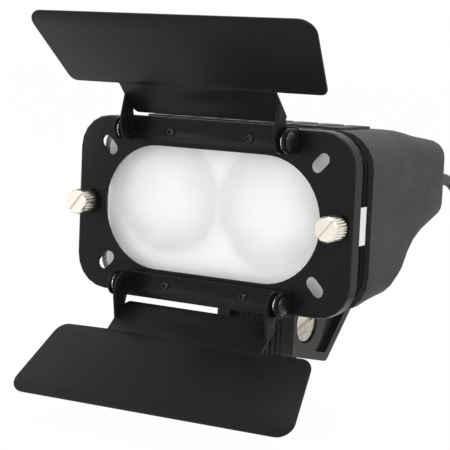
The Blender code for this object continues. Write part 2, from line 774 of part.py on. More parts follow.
def bezel():
    """The black moulding that fills the housing's mouth and carries the glass."""
    half_x = BEZEL_MOUTH_X + BEZEL_WALL
    half_z = GLASS_HALF_Z + GAP + GLASS_FRAME_SHEET
    corner = GLASS_CORNER + GAP + GLASS_FRAME_SHEET
    front = GLASS_FRONT_Y + GLASS_THICK + 2 * GAP
    depth = BEZEL_BACK_Y - front
    ring = slab(
        "lens_bezel", [rounded_rectangle(half_x, half_z, corner, 6)], depth, "black_plastic",
        FACING_FRONT, on_head(0, front + depth / 2, 0),
    )
    mouth_x = HOUSING_HALF_X - HOUSING_WALL - GAP
    mouth_z = HOUSING_TOP_Z - HOUSING_WALL - GAP
    mouth_corner = HOUSING_CORNER - HOUSING_WALL - GAP
    flange_depth = BEZEL_BACK_Y - BEZEL_FLANGE_Y
    flange = slab(
        "bezel_flange", [rounded_rectangle(mouth_x, mouth_z, mouth_corner)], flange_depth, None,
        FACING_FRONT, on_head(0, BEZEL_FLANGE_Y + flange_depth / 2, 0),
    )
    join(ring, flange)
    opening = slab(
        "bezel_opening", [rounded_rectangle(BEZEL_MOUTH_X, half_z - BEZEL_WALL, corner - BEZEL_WALL, 6)],
        4 * depth, None, FACING_FRONT, on_head(0, front, 0),
    )
    cut(ring, opening)


def housing_outline(y, inset):
    """The housing's outline across at y, drawn in by inset, as (x, z) points."""
    top, bottom, upper, lower = section_at(y)
    half = HOUSING_HALF_X - inset
    top -= inset
    bottom += inset
    upper -= inset
    lower -= inset
    points = []
    points += arc((half - upper, top - upper), upper, 0, 90, 5)
    points += arc((-half + upper, top - upper), upper, 90, 180, 5)
    points += arc((-half + lower, bottom + lower), lower, 180, 270, 5)
    points += arc((half - lower, bottom + lower), lower, 270, 360, 5)
    return points


def housing():
    """The moulded shell, open at the front, with cooling ribs on its top."""
    outlines = [(section[0], housing_outline(section[0], 0.0)) for section in HOUSING_SECTIONS]
    steps = 3
    for k in range(1, steps + 1):
        angle = math.pi / 2 * k / steps
        y = HOUSING_BACK_Y - HOUSING_REAR_ROUND * (1 - math.sin(angle))
        outlines.append((y, housing_outline(y, HOUSING_REAR_ROUND * (1 - math.cos(angle)))))
    shape = bmesh.new()
    rings = []
    for y, outline in outlines:
        rings.append([shape.verts.new((x, y, z)) for x, z in outline])
    count = len(rings[0])
    for near, far in zip(rings, rings[1:]):
        for i in range(count):
            j = (i + 1) % count
            shape.faces.new((near[i], near[j], far[j], far[i]))
    shape.faces.new(rings[-1])
    bmesh.ops.recalc_face_normals(shape, faces=shape.faces)
    mesh = bpy.data.meshes.new("housing")
    shape.to_mesh(mesh)
    shape.free()
    guide = bpy.data.objects.new("housing", mesh)
    CUTTERS.objects.link(guide)
    wall = guide.modifiers.new("wall", "SOLIDIFY")
    wall.thickness = HOUSING_WALL
    wall.offset = -1
    wall.use_even_offset = True
    shell = finished("housing", evaluated_mesh(guide), "charcoal_plastic", Matrix.Translation(HEAD))
    loops = []
    length = RIB_BACK_Y - RIB_FRONT_Y
    for i in range(RIB_COUNT):
        x = (i - (RIB_COUNT - 1) / 2) * RIB_PITCH
        loops.append(rounded_rectangle(RIB_WIDTH / 2, length / 2, 0.0012, 2, (x, 0)))
    sunk = HOUSING_WALL / 2
    ribs = slab(
        "housing_ribs", loops, RIB_HEIGHT + sunk, None, FACING_UP,
        on_head(0, RIB_FRONT_Y + length / 2, HOUSING_TOP_Z + (RIB_HEIGHT - sunk) / 2),
    )
    join(shell, ribs)
    loops = [circle(RELIEF_NECK + GAP, 20, (CORD_X, CORD_Z))]
    for x in SWITCH_X:
        half_x = SWITCH_WIDTH / 2 - SWITCH_BORDER + GAP
        half_z = SWITCH_HEIGHT / 2 - SWITCH_BORDER + GAP
        loops.append(rounded_rectangle(half_x, half_z, 0.0008, 2, (x, SWITCH_Z)))
    for side in (-1, 1):
        loops.append(circle(REAR_SCREW_SHANK + GAP, 16, (side * REAR_SCREW_X, REAR_SCREW_Z)))
    holes = slab(
        "housing_holes", loops, 4 * HOUSING_WALL, None, FACING_FRONT, on_head(0, HOUSING_BACK_Y, 0)
    )
    cut(shell, holes)


def lamp(side, word):
    """A reflector lamp, its glass capsule and its ceramic socket."""
    rim_front = BEZEL_BACK_Y - GAP
    place = on_head(side * LAMP_X, rim_front - LAMP_RIM_DEPTH, 0)
    inside = []
    steps = 4
    for k in range(steps + 1):
        t = k / steps
        radius = LAMP_NECK + (LAMP_BOWL - LAMP_NECK) * math.sin(t * math.pi / 2)
        inside.append((radius - LAMP_WALL, -LAMP_DEPTH * 0.66 * (1 - t) ** 1.3 - 0.0010))
    outside = []
    for k in range(steps + 1):
        t = 1 - k / steps
        radius = LAMP_NECK + (LAMP_BOWL - LAMP_NECK) * math.sin(t * math.pi / 2)
        outside.append((radius, -LAMP_DEPTH * 0.66 * (1 - t) ** 1.3 - LAMP_RIM_DEPTH - 0.0004))
    profile = [(0, inside[0][1])] + inside + [(LAMP_RIM - 0.0008, 0.0)]
    profile += [(LAMP_RIM, -0.0004), (LAMP_RIM, -LAMP_RIM_DEPTH)]
    profile += outside + [(LAMP_NECK, -LAMP_DEPTH), (0, -LAMP_DEPTH)]
    turned(f"lamp_reflector_{word}", profile, "lamp_mirror", FACING_FRONT, place, 28)
    tip = -0.0080
    base = inside[0][1] + GAP
    capsule = [
        (0, tip),
        (CAPSULE_RADIUS * 0.5, tip - 0.0008),
        (CAPSULE_RADIUS * 0.9, tip - 0.0028),
        (CAPSULE_RADIUS, tip - 0.0050),
        (CAPSULE_RADIUS, base + 0.0010),
        (CAPSULE_RADIUS * 0.8, base),
        (0, base),
    ]
    turned(f"lamp_capsule_{word}", capsule, "lamp_glass", FACING_FRONT, place, 14)
    back = rim_front - LAMP_RIM_DEPTH + LAMP_DEPTH + GAP
    socket = slab(
        f"lamp_socket_{word}", [rounded_rectangle(SOCKET_WIDTH / 2, SOCKET_HEIGHT / 2, 0.0020, 3)],
        SOCKET_DEPTH, "ceramic", FACING_FRONT, on_head(side * LAMP_X, back + SOCKET_DEPTH / 2, 0),
    )
    return socket


def lamp_plate():
    """The sheet that the lamps' rims rest on."""
    mouth_x = HOUSING_HALF_X - HOUSING_WALL - GAP
    mouth_z = HOUSING_TOP_Z - HOUSING_WALL - GAP
    mouth_corner = HOUSING_CORNER - HOUSING_WALL - GAP
    loops = [rounded_rectangle(mouth_x, mouth_z, mouth_corner)]
    for side in (-1, 1):
        loops.append(circle(LAMP_BOWL + 2 * GAP, 28, (side * LAMP_X, 0)))
    slab(
        "lamp_plate", loops, LAMP_PLATE_SHEET, "steel", FACING_FRONT,
        on_head(0, BEZEL_BACK_Y + GAP + LAMP_PLATE_SHEET / 2, 0),
    )


def rear_switch(x, word):
    """A rocker switch: its bezel with the body behind it, and the rocker in it."""
    front = HOUSING_BACK_Y + GAP
    place = on_head(x, front + SWITCH_PROUD / 2, SWITCH_Z)
    back_facing = Matrix.Rotation(math.radians(180), 4, "Z") @ FACING_FRONT
    rim = slab(
        f"switch_bezel_{word}", [rounded_rectangle(SWITCH_WIDTH / 2, SWITCH_HEIGHT / 2, 0.0012, 3)],
        SWITCH_PROUD, "black_plastic", back_facing, place, 0.0005, 2,
    )
    body = box(
        f"switch_body_{word}",
        (
            SWITCH_WIDTH - 2 * SWITCH_BORDER,
            SWITCH_DEPTH + SWITCH_PROUD / 2,
            SWITCH_HEIGHT - 2 * SWITCH_BORDER,
        ),
        None, on_head(x, front - (SWITCH_DEPTH - SWITCH_PROUD / 2) / 2, SWITCH_Z),
    )
    join(rim, body)
    room = 0.0003
    well = box(
        f"switch_well_{word}",
        (2 * (ROCKER_HALF + room), 0.0120, ROCKER_HEIGHT + 2 * room),
        None, on_head(x, front, SWITCH_Z),
    )
    cut(rim, well)
    axis_y = front - 0.0012
    crest = SWITCH_PROUD + ROCKER_PROUD - 0.0012
    outline = [
        (-ROCKER_HALF + 0.0006, 0.0008),
        (-ROCKER_HALF + 0.0002, crest - 0.0010),
        (-ROCKER_HALF * 0.6, crest - 0.0005),
        (0, crest - 0.0012),
        (ROCKER_HALF * 0.6, crest - 0.0005),
        (ROCKER_HALF - 0.0002, crest - 0.0010),
        (ROCKER_HALF - 0.0006, 0.0008),
        (0.0020, -0.0028),
        (-0.0020, -0.0028),
    ]
    turn = Matrix.Rotation(ROCKER_TILT, 4, "Z")
    slab(
        f"switch_rocker_{word}", [outline], ROCKER_HEIGHT, "black_plastic", turn, on_head(x, axis_y, SWITCH_Z)
    )


def strain_relief():
    """The tapered, ringed sleeve that the cord leaves through."""
    profile = [(0, -0.0060), (RELIEF_NECK, -0.0060), (RELIEF_NECK, GAP), (RELIEF_FLANGE, GAP)]
    profile += [(RELIEF_FLANGE, 0.0022), (RELIEF_BASE, 0.0030)]
    rings = 3
    start = 0.0040
    pitch = (RELIEF_LENGTH - start - 0.0015) / rings
    for k in range(rings):
        low = start + k * pitch
        radius = RELIEF_BASE - (RELIEF_BASE - RELIEF_TIP) * (low / RELIEF_LENGTH)
        profile += [(radius, low), (radius - 0.0008, low + 0.0004)]
        profile += [(radius - 0.0008, low + pitch * 0.40), (radius, low + pitch * 0.50)]
    profile += [(RELIEF_TIP, RELIEF_LENGTH - 0.0004), (RELIEF_TIP - 0.0004, RELIEF_LENGTH), (0, RELIEF_LENGTH)]
    facing = Matrix.Rotation(math.radians(-90), 4, "X")
    turned("strain_relief", profile, "cord_rubber", facing, on_head(CORD_X, HOUSING_BACK_Y, CORD_Z), 18)


def rear_screw(name, side):
    """A pan-head screw in the housing's back."""
    profile = [
        (0, 0.0018),
        (REAR_SCREW_HEAD * 0.6, 0.0016),
        (REAR_SCREW_HEAD, 0.0009),
        (REAR_SCREW_HEAD, GAP),
        (REAR_SCREW_SHANK, GAP),
        (REAR_SCREW_SHANK, -0.0070),
        (0, -0.0070),
    ]
    facing = Matrix.Rotation(math.radians(-90), 4, "X")
    place = on_head(side * REAR_SCREW_X, HOUSING_BACK_Y, REAR_SCREW_Z)
    turned(name, profile, "steel", facing, place, 14)


def stations(first, last):
    """Distances back from first to last, with the housing's own sections between them."""
    between = [section[0] for section in HOUSING_SECTIONS if first < section[0] < last]
    return [first] + between + [last]


def cheek_outline(inset, drop):
    """The side of the tilt bracket: its top follows the housing's underside, drop below it."""
    first = CHEEK_FRONT_Y + inset
    last = CHEEK_BACK_Y - inset
    top = [(y, underside(y) - drop, 0) for y in reversed(stations(first, last))]
    low = []
    for y, z, radius in CHEEK_CORNERS:
        low.append(Vector((y, z, radius)))
    front, corner, rear = low
    if inset:
        slope = (corner.y - front.y) / (corner.x - front.x)
        front = Vector((first, front.y + slope * inset + inset * math.hypot(1, slope), 0.0010))
        rise = (rear.y - corner.y) / (rear.x - corner.x)
        shift = inset * math.hypot(1, rise)
        base = low[0].y + inset * math.hypot(1, slope)
        meet = (base - slope * low[0].x - (corner.y - rise * corner.x) - shift) / (rise - slope)
        corner = Vector((meet, base + slope * (meet - low[0].x), 0.0012))
        rear = Vector((last, low[1].y + rise * (last - low[1].x) + shift, 0.0030))
    corners = [tuple(front), tuple(corner), tuple(rear)] + top
    return rounded_polygon(corners, 4)


def tilt_bracket():
    """Two cheeks under a curved roof, moulded as one, with bosses and pockets."""
    middle = CHEEK_OUTER_X - CHEEK_THICK / 2
    outline = cheek_outline(0.0, GAP)
    bracket = slab("tilt_bracket", [outline], CHEEK_THICK, "bracket_plastic", FACING_SIDE, on_bracket(middle, 0, 0))
    other = slab("tilt_cheek", [outline], CHEEK_THICK, None, FACING_SIDE, on_bracket(-middle, 0, 0))
    join(bracket, other)
    upper = []
    lower = []
    for y in stations(CHEEK_FRONT_Y + ROOF_INSET, CHEEK_BACK_Y - ROOF_INSET):
        upper.append((y, underside(y) - GAP - 0.0001))
        lower.append((y, underside(y) - GAP - BRACKET_ROOF))
    roof = slab(
        "tilt_roof", [upper + lower[::-1]], 2 * middle, None, FACING_SIDE, on_bracket(0, 0, 0)
    )
    join(bracket, roof)
    pocket_outline = cheek_outline(CHEEK_BORDER, GAP + CHEEK_BORDER)
    for side in (-1, 1):
        pocket = slab(
            f"cheek_pocket_{side}", [pocket_outline], 2 * CHEEK_POCKET, None, FACING_SIDE,
            on_bracket(side * CHEEK_OUTER_X, 0, 0),
        )
        boss = cylinder(
            f"cheek_boss_{side}", CHEEK_BOSS, 4 * CHEEK_POCKET, FACING_SIDE,
            on_bracket(side * CHEEK_OUTER_X, TILT_Y, TILT_Z), 30,
        )
        cut(pocket, boss)
        cut(bracket, pocket)
        depth = CHEEK_THICK - CHEEK_WEB
        recess = cylinder(
            f"cheek_recess_{side}", CHEEK_RECESS, 2 * depth, FACING_SIDE,
            on_bracket(side * CHEEK_OUTER_X, TILT_Y, TILT_Z), 30,
        )
        cut(bracket, recess)
    bore = cylinder(
        "tilt_bore", TILT_SHANK + GAP, 3 * CHEEK_OUTER_X, FACING_SIDE, on_bracket(0, TILT_Y, TILT_Z), 24
    )
    cut(bracket, bore)


def tilt_screw():
    """The coin-slot clamp screw through both cheeks and the stem, and its nut."""
    seat = CHEEK_OUTER_X - CHEEK_THICK + CHEEK_WEB + GAP
    face = seat + TILT_SCREW_HEAD
    head = CHEEK_RECESS - GAP
    nut_face = seat + NUT_THICK
    profile = [
        (0, face),
        (head - 0.0005, face),
        (head, face - 0.0005),
        (head, seat),
        (TILT_SHANK, seat),
        (TILT_SHANK, -nut_face - 0.0008),
        (0, -nut_face - 0.0008),
    ]
    facing = Matrix.Rotation(math.radians(90), 4, "Y")
    place = on_bracket(0, TILT_Y, TILT_Z)
    screw = turned("tilt_screw", profile, "nickel", facing, place, 32)
    slot_turn = Matrix.Rotation(COIN_SLOT_ANGLE, 4, "X")
    slot = box(
        "tilt_screw_slot", (2 * COIN_SLOT_DEPTH, 4 * head, COIN_SLOT), None,
        place + Vector((face, 0, 0)), slot_turn,
    )
    cut(screw, slot)
    bore = TILT_SHANK + GAP
    hexagon = circle(NUT_RADIUS, 6)
    slab(
        "tilt_nut", [hexagon, circle(bore, 20)], NUT_THICK, "steel", FACING_SIDE,
        on_bracket(-seat - NUT_THICK / 2, TILT_Y, TILT_Z),
    )


def foot_stem():
    """The block between the cheeks, ribbed in front, on a narrower neck."""
    pivot_z = LAMP_CENTRE_Z + TILT_Z
    half = CHEEK_OUTER_X - CHEEK_THICK - GAP
    outline = [(-STEM_RADIUS, STEM_BLOCK_BOTTOM_Z - pivot_z), (STEM_RADIUS, STEM_BLOCK_BOTTOM_Z - pivot_z)]
    outline += arc((0, 0), STEM_RADIUS, 0, 180, 16)
    block = slab(
        "foot_stem", [outline], 2 * half, "bracket_plastic", FACING_SIDE, Vector((0, 0, pivot_z))
    )
    grooves = []
    count = int(2 * half / STEM_RIB_PITCH)
    for k in range(count + 1):
        x = (k - count / 2) * STEM_RIB_PITCH
        wide = STEM_RIB_PITCH * 0.35
        grooves.append([(x - wide / 2, STEM_RIB), (x + wide / 2, STEM_RIB), (x + wide, -CUT_OVER), (x - wide, -CUT_OVER)])
    tall = 4 * STEM_RADIUS
    comb = slab("stem_grooves", grooves, tall, None, FACING_UP, Vector((0, -STEM_RADIUS, pivot_z)))
    cut(block, comb)
    neck_top = STEM_BLOCK_BOTTOM_Z + 0.0010
    neck = slab(
        "stem_neck", [rounded_rectangle(STEM_NECK_X, STEM_NECK_Y, 0.0030, 4)], neck_top - STEM_BOTTOM_Z,
        None, FACING_UP, Vector((0, 0, (neck_top + STEM_BOTTOM_Z) / 2)),
    )
    join(block, neck)
    cut(block, cylinder("stem_bore", TILT_SHANK + GAP, 4 * half, FACING_SIDE, Vector((0, 0, pivot_z)), 24))
    depth = STUD_REACH + GAP
    socket = cylinder(
        "stem_socket", STUD_RADIUS + GAP, 2 * depth, FACING_UP, Vector((0, 0, STEM_BOTTOM_Z)), 24
    )
    cut(block, socket)


def shoe_foot():
    """The plate that slides into an accessory shoe, its stud, and the lock wheel."""
    top = STEM_BOTTOM_Z + STUD_REACH
    plate = slab(
        "shoe_foot", [rounded_rectangle(SHOE_WIDTH / 2, SHOE_LENGTH / 2, 0.0012, 3)], SHOE_THICK, "steel",
        FACING_UP, Vector((0, 0, SHOE_THICK / 2)),
    )
    overlap = SHOE_THICK / 2
    stud = cylinder(
        "shoe_stud", STUD_RADIUS, top - overlap, FACING_UP, Vector((0, 0, (top + overlap) / 2)), 24
    )
    join(plate, stud)
    low = STEM_BOTTOM_Z - GAP - WHEEL_THICK
    wheel = slab(
        "shoe_lock_wheel",
        [toothed(WHEEL_RADIUS, WHEEL_TOOTH, WHEEL_TEETH), circle(STUD_RADIUS + GAP, 24)],
        WHEEL_THICK, "black_plastic", FACING_UP, Vector((0, 0, low + WHEEL_THICK / 2)),
    )
    return wheel


def smooth_route(points, spacing):
    """Points about spacing apart on a smooth curve through the route's own points."""
    ends = [2 * Vector(points[0]) - Vector(points[1])]
    ends += [Vector(p) for p in points]
    ends.append(2 * Vector(points[-1]) - Vector(points[-2]))
    route = []
    for a, b, c, d in zip(ends, ends[1:], ends[2:], ends[3:]):
        count = max(2, round((c - b).length / spacing))
        for k in range(count):
            t = k / count
            route.append(
                0.5 * (2 * b + (c - a) * t + (2 * a - 5 * b + 4 * c - d) * t**2
                       + (3 * b - a - 3 * c + d) * t**3)
            )
    route.append(Vector(points[-1]))
    return route


def tube(name, points, diameter, resolution, finish):
    """A round tube along points, its ends closed."""
    curve = bpy.data.curves.new(name, "CURVE")
    curve.dimensions = "3D"
    curve.bevel_depth = diameter / 2
    curve.bevel_resolution = resolution
    curve.use_fill_caps = True
    spline = curve.splines.new("POLY")
    spline.points.add(len(points) - 1)
    for point, place in zip(spline.points, points):
        point.co = (*place, 1)
    guide = bpy.data.objects.new(name, curve)
    CUTTERS.objects.link(guide)
    return finished(name, evaluated_mesh(guide), finish, Matrix.Identity(4))


def coil_points():
    """The coil's centreline: in along the lower layer, up, and out along the upper one."""
    low = CORD_DIAMETER / 2 + COIL_LIFT
    steps = round(COIL_TURNS * COIL_STEPS)
    climb = COIL_STEPS // 2
    points = []
    for k in range(2 * steps + climb + 1):
        angle = math.pi - 2 * math.pi * k / COIL_STEPS
        if k <= steps:
            depth = k / COIL_STEPS
            rise = 0.0
        elif k <= steps + climb:
            rise = (k - steps) / climb
            depth = COIL_TURNS + COIL_BULGE * math.sin(math.pi * rise)
        else:
            depth = COIL_TURNS - (k - steps - climb) / COIL_STEPS
            rise = 1.0
        radius = COIL_RADIUS - COIL_PITCH * depth
        ease = rise * rise * (3 - 2 * rise)
        points.append(
            Vector((COIL_X + radius * math.cos(angle), COIL_Y + radius * math.sin(angle), low + COIL_LAYER * ease))
        )
    return points


def least_gap(points, diameter, skip):
    """The least space between a tube and itself, more than skip points apart."""
    least = 1.0
    for i in range(len(points)):
        for j in range(i + skip, len(points)):
            least = min(least, (points[i] - points[j]).length)
    return least - diameter


def run_length(points):
    return sum((b - a).length for a, b in zip(points, points[1:]))


def cord_and_plug():
    """The loose run, the coil, its tie, and the plug beside the coil."""
    coil = coil_points()
    spacing = 2.2 * CORD_DIAMETER
    entry = (coil[1] - coil[0]).normalized()
    run = list(CORD_RUN)
    run[0] = tuple(on_head(CORD_X, HOUSING_BACK_Y + RELIEF_LENGTH + GAP, CORD_Z))
    last = coil[0] - entry * GAP
    before = coil[0] - entry * spacing
    run += [tuple(before), tuple(last)]
    loose = smooth_route(run, spacing)
    tube("cord", loose, CORD_DIAMETER, 2, "cord_rubber")
    leave = Vector((0, -1, 0))
    end = coil[-1] + leave * COIL_TAIL
    coil.append(end)
    tube("cord_coil", coil, CORD_DIAMETER, 1, "cord_rubber")
    print("cord length", round(run_length(loose) + run_length(coil), 4))
    print("least gap in the coil", round(least_gap(coil, CORD_DIAMETER, 8), 5))
    aim = leave.to_track_quat("Z", "Y").to_matrix().to_4x4()
    start = end + leave * GAP
    boot = [
        (0, 0),
        (CORD_DIAMETER / 2 + 0.0008, 0),
        (CORD_DIAMETER / 2 + 0.0012, 0.0006),
        (PLUG_RADIUS - 0.0028, BOOT_LENGTH - 0.0004),
        (PLUG_RADIUS - 0.0028, BOOT_LENGTH),
        (0, BOOT_LENGTH),
    ]
    turned("plug_boot", boot, "cord_rubber", aim, start, 18)
    shell_start = start + leave * (BOOT_LENGTH + GAP)
    wall = 0.0012
    shell = [
        (0, 0),
        (PLUG_RADIUS - 0.0022, 0),
        (PLUG_RADIUS, 0.0016),
        (PLUG_RADIUS, 0.0140),
        (PLUG_RADIUS - 0.0007, 0.0148),
        (PLUG_RADIUS - 0.0007, PLUG_LENGTH - 0.0004),
        (PLUG_RADIUS - 0.0011, PLUG_LENGTH),
        (PLUG_RADIUS - 0.0007 - wall, PLUG_LENGTH),
        (PLUG_RADIUS - 0.0007 - wall, PLUG_LENGTH - 0.0140),
        (0, PLUG_LENGTH - 0.0140),
    ]
    turned("plug_shell", shell, "nickel", aim, shell_start, 24)
    pin_place = shell_start + leave * (PLUG_LENGTH - 0.0140 + GAP)
    core = [(0, 0), (0.0056, 0), (0.0056, 0.0030), (0, 0.0030)]
    insert = turned("plug_pins", core, "black_plastic", aim, pin_place, 18)
    across = aim @ Vector((1, 0, 0))
    over = aim @ Vector((0, 1, 0))
    for k in range(4):
        angle = math.radians(45 + 90 * k)
        offset = across * PIN_CIRCLE * math.cos(angle) + over * PIN_CIRCLE * math.sin(angle)
        pin = cylinder(f"plug_pin_{k}", 0.0007, 0.0110, aim, pin_place + offset + leave * 0.0065, 10)
        join(insert, pin)
    return coil


def cord_tie():
    """A strap round two turns in each layer, on the side away from where they climb."""
    width = COIL_PITCH + CORD_DIAMETER + 4 * GAP
    height = COIL_LAYER + CORD_DIAMETER + 4 * GAP
    low = COIL_LIFT - 2 * GAP
    middle = COIL_RADIUS - COIL_PITCH * TIE_DEPTH
    centre = Vector(
        (COIL_X + middle * math.cos(TIE_ANGLE), COIL_Y + middle * math.sin(TIE_ANGLE), low + height / 2)
    )
    inner = rounded_rectangle(width / 2, height / 2, CORD_DIAMETER / 2, 5)
    outer = rounded_rectangle(width / 2 + TIE_SHEET, height / 2 + TIE_SHEET, CORD_DIAMETER / 2 + TIE_SHEET, 5)
    facing = Matrix.Rotation(TIE_ANGLE, 4, "Z") @ FACING_FRONT
    slab("cord_tie", [outer, inner], TIE_WIDTH, "black_plastic", facing, centre)


door_frame()
for part, direction in (("top", 1), ("bottom", -1)):
    hinge_strip(f"hinge_strip_{part}", direction)
    for word, across in (("left", -1), ("right", 1)):
        strip_rivet(f"strip_rivet_{part}_{word}", across * STRIP_RIVET_X, direction * STRIP_RIVET_Z)
        hinge_rivet(f"hinge_rivet_{part}_{word}", across, direction)
        hinge_washer(f"hinge_washer_{part}_{word}", across, direction)
leaf("top_leaf", 1, LEAF_TOP_ANGLE)
leaf("bottom_leaf", -1, LEAF_BOTTOM_ANGLE, LEAF_BOTTOM_SKEW)
glass_and_frame()
bezel()
housing()
lamp_plate()
for word, across in (("left", -1), ("right", 1)):
    thumbscrew(f"thumbscrew_{word}", across)
    frame_bracket(f"frame_bracket_{word}", across)
    lamp(across, word)
    rear_screw(f"rear_screw_{word}", across)
for word, switch_x in zip(("left", "right"), SWITCH_X):
    rear_switch(switch_x, word)
strain_relief()
tilt_bracket()
tilt_screw()
foot_stem()
shoe_foot()
cord_and_plug()
cord_tie()
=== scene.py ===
import json
import math

import bmesh
import bpy
from mathutils import Matrix, Vector


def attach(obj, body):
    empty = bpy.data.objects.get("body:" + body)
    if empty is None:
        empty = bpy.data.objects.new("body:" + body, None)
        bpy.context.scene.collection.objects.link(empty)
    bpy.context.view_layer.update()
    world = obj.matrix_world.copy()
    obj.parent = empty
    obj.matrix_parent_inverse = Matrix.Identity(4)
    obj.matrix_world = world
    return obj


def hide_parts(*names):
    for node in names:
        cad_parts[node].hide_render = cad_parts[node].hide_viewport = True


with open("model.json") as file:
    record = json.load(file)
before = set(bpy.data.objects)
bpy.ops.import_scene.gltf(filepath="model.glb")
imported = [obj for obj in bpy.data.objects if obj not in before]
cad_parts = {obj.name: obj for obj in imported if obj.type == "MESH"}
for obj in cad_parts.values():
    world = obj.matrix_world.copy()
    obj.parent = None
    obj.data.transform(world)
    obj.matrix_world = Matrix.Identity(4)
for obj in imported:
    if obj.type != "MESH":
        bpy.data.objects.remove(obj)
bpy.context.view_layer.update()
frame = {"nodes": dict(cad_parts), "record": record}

NODES = frame["nodes"]
SLOT_OF = {entry["node"]: entry["material_slot"] for entry in frame["record"]["subparts"]}
MERGE = 0.000002
WHITE = (1, 1, 1, 1)


def placed(name, data):
    """A new object in the scene that shows data."""
    made = bpy.data.objects.new(name, data)
    bpy.context.scene.collection.objects.link(made)
    return made


def evaluated(made):
    """An object's mesh as its modifiers or its curve settings leave it."""
    bpy.context.view_layer.update()
    graph = bpy.context.evaluated_depsgraph_get()
    return bpy.data.meshes.new_from_object(made.evaluated_get(graph))


# ---- Camera ----

# Fitted to the photograph: a 128 mm lens on a 36 mm sensor
CAMERA_LENS = 128
CAMERA_SENSOR = 36
CAMERA_CLIP = 20
CAMERA_PLACE = (0.3370, -0.5769, 0.1575)
CAMERA_RIGHT = (0.84440, 0.53401, 0.04292)
CAMERA_BACK = (0.52680, -0.84222, 0.11465)


def make_camera():
    data = bpy.data.cameras.new("camera")
    data.lens = CAMERA_LENS
    data.sensor_width = CAMERA_SENSOR
    data.clip_end = CAMERA_CLIP
    camera = placed("camera", data)
    right = Vector(CAMERA_RIGHT).normalized()
    back = Vector(CAMERA_BACK).normalized()
    up = back.cross(right).normalized()
    right = up.cross(back)
    turn = Matrix((right, up, back)).transposed().to_4x4()
    camera.matrix_world = Matrix.Translation(CAMERA_PLACE) @ turn
    bpy.context.scene.camera = camera


make_camera()


# ---- Node helpers ----

def add(tree, kind, **values):
    node = tree.nodes.new(kind)
    for key, value in values.items():
        setattr(node, key, value)
    return node


def coordinates(tree):
    return add(tree, "ShaderNodeTexCoord").outputs["Object"]


def noise(tree, scale, detail, roughness=0.5, where=None):
    node = add(tree, "ShaderNodeTexNoise")
    node.inputs["Scale"].default_value = scale
    node.inputs["Detail"].default_value = detail
    node.inputs["Roughness"].default_value = roughness
    tree.links.new(where or coordinates(tree), node.inputs["Vector"])
    return node.outputs["Fac"]


def spots(tree, scale):
    node = add(tree, "ShaderNodeTexVoronoi")
    node.inputs["Scale"].default_value = scale
    tree.links.new(coordinates(tree), node.inputs["Vector"])
    return node.outputs["Distance"]


def ramp(tree, value, stops):
    """Grey levels by value, from stops of (place, level)."""
    node = add(tree, "ShaderNodeValToRGB")
    marks = node.color_ramp.elements
    while len(marks) < len(stops):
        marks.new(0.5)
    for mark, (place, level) in zip(marks, stops):
        mark.position = place
        mark.color = (level, level, level, 1)
    tree.links.new(value, node.inputs["Fac"])
    return node.outputs["Color"]


def mix(tree, share, low, high):
    """A colour between low and high, each of them a socket or a plain colour."""
    node = add(tree, "ShaderNodeMix", data_type="RGBA")
    tree.links.new(share, node.inputs[0])
    for value, socket in ((low, node.inputs[6]), (high, node.inputs[7])):
        if isinstance(value, bpy.types.NodeSocket):
            tree.links.new(value, socket)
        else:
            socket.default_value = (*value, 1)
    return node.outputs[2]


def arithmetic(tree, operation, first, second):
    """A sum on two values, each of them a socket or a number."""
    node = add(tree, "ShaderNodeMath", operation=operation)
    for value, socket in ((first, node.inputs[0]), (second, node.inputs[1])):
        if isinstance(value, bpy.types.NodeSocket):
            tree.links.new(value, socket)
        else:
            socket.default_value = value
    return node.outputs[0]


def blended(tree, share, first, second, kind):
    """Two shaders mixed by share, on a new output node of the given kind."""
    both = add(tree, "ShaderNodeMixShader")
    out = add(tree, kind)
    tree.links.new(share, both.inputs[0])
    tree.links.new(first.outputs[0], both.inputs[1])
    tree.links.new(second.outputs[0], both.inputs[2])
    tree.links.new(both.outputs[0], out.inputs["Surface"])


def bump(tree, shader, height, distance, strength):
    node = add(tree, "ShaderNodeBump")
    node.inputs["Distance"].default_value = distance
    node.inputs["Strength"].default_value = strength
    tree.links.new(height, node.inputs["Height"])
    tree.links.new(node.outputs["Normal"], shader.inputs["Normal"])


def uneven_gloss(tree, shader, scale, detail, low, high):
    """Roughness that wanders between low and high."""
    level = ramp(tree, noise(tree, scale, detail), [(0.3, low), (0.7, high)])
    tree.links.new(level, shader.inputs["Roughness"])


def start(name, metallic=0.0, specular=0.5):
    """A new material, its nodes and its shader."""
    material = bpy.data.materials.new(name)
    material.use_nodes = True
    shader = material.node_tree.nodes["Principled BSDF"]
    shader.inputs["Metallic"].default_value = metallic
    shader.inputs["Specular IOR Level"].default_value = specular
    return material, material.node_tree, shader


# ---- Materials ----

PAINT_LOW = (0.0076, 0.0078, 0.0066)
PAINT_HIGH = (0.0104, 0.0106, 0.0092)
PAINT_DUST = (0.16, 0.16, 0.16)

# The glass frame's tin, painted near white: painted light where the frame's plate shades it
PAINTED_LIGHT_TIN_LOW = (0.90, 0.90, 0.89)
PAINTED_LIGHT_TIN_HIGH = (1.0, 1.0, 0.99)

# The glass's darkest and lightest tones: the painted lamp light and a random mottle go between
# them, and the pits are its etched grain
GLASS_LOW = (0.66, 0.68, 0.67)
GLASS_HIGH = (1.0, 1.0, 1.0)
GLASS_PITS = (0.50, 0.52, 0.52)
# A painted glow: the glass gives off light to stand in for light on it where the frame shades it
PAINTED_GLASS_GLOW = 0.14
# The two lamps behind the glass, whose light is painted into its colour: x and height of each
# middle, and how far their painted light reaches
LAMP_CENTRES = ((-0.0322, 0.0935), (0.0172, 0.0925))
LAMP_REACH = 0.0240
# A lamp's painted brightness by half its distance squared, in reaches: a painted bright spot, a
# dimmer painted ring, painted brightness again
PAINTED_LAMP_RINGS = [(0.0, 1.0), (0.10, 0.85), (0.34, 0.30), (0.48, 0.22), (0.62, 0.85), (0.8, 1.0)]

FLOOR_GREY = (0.9, 0.9, 0.9, 1)
FLOOR_WHITENESS = 0.985


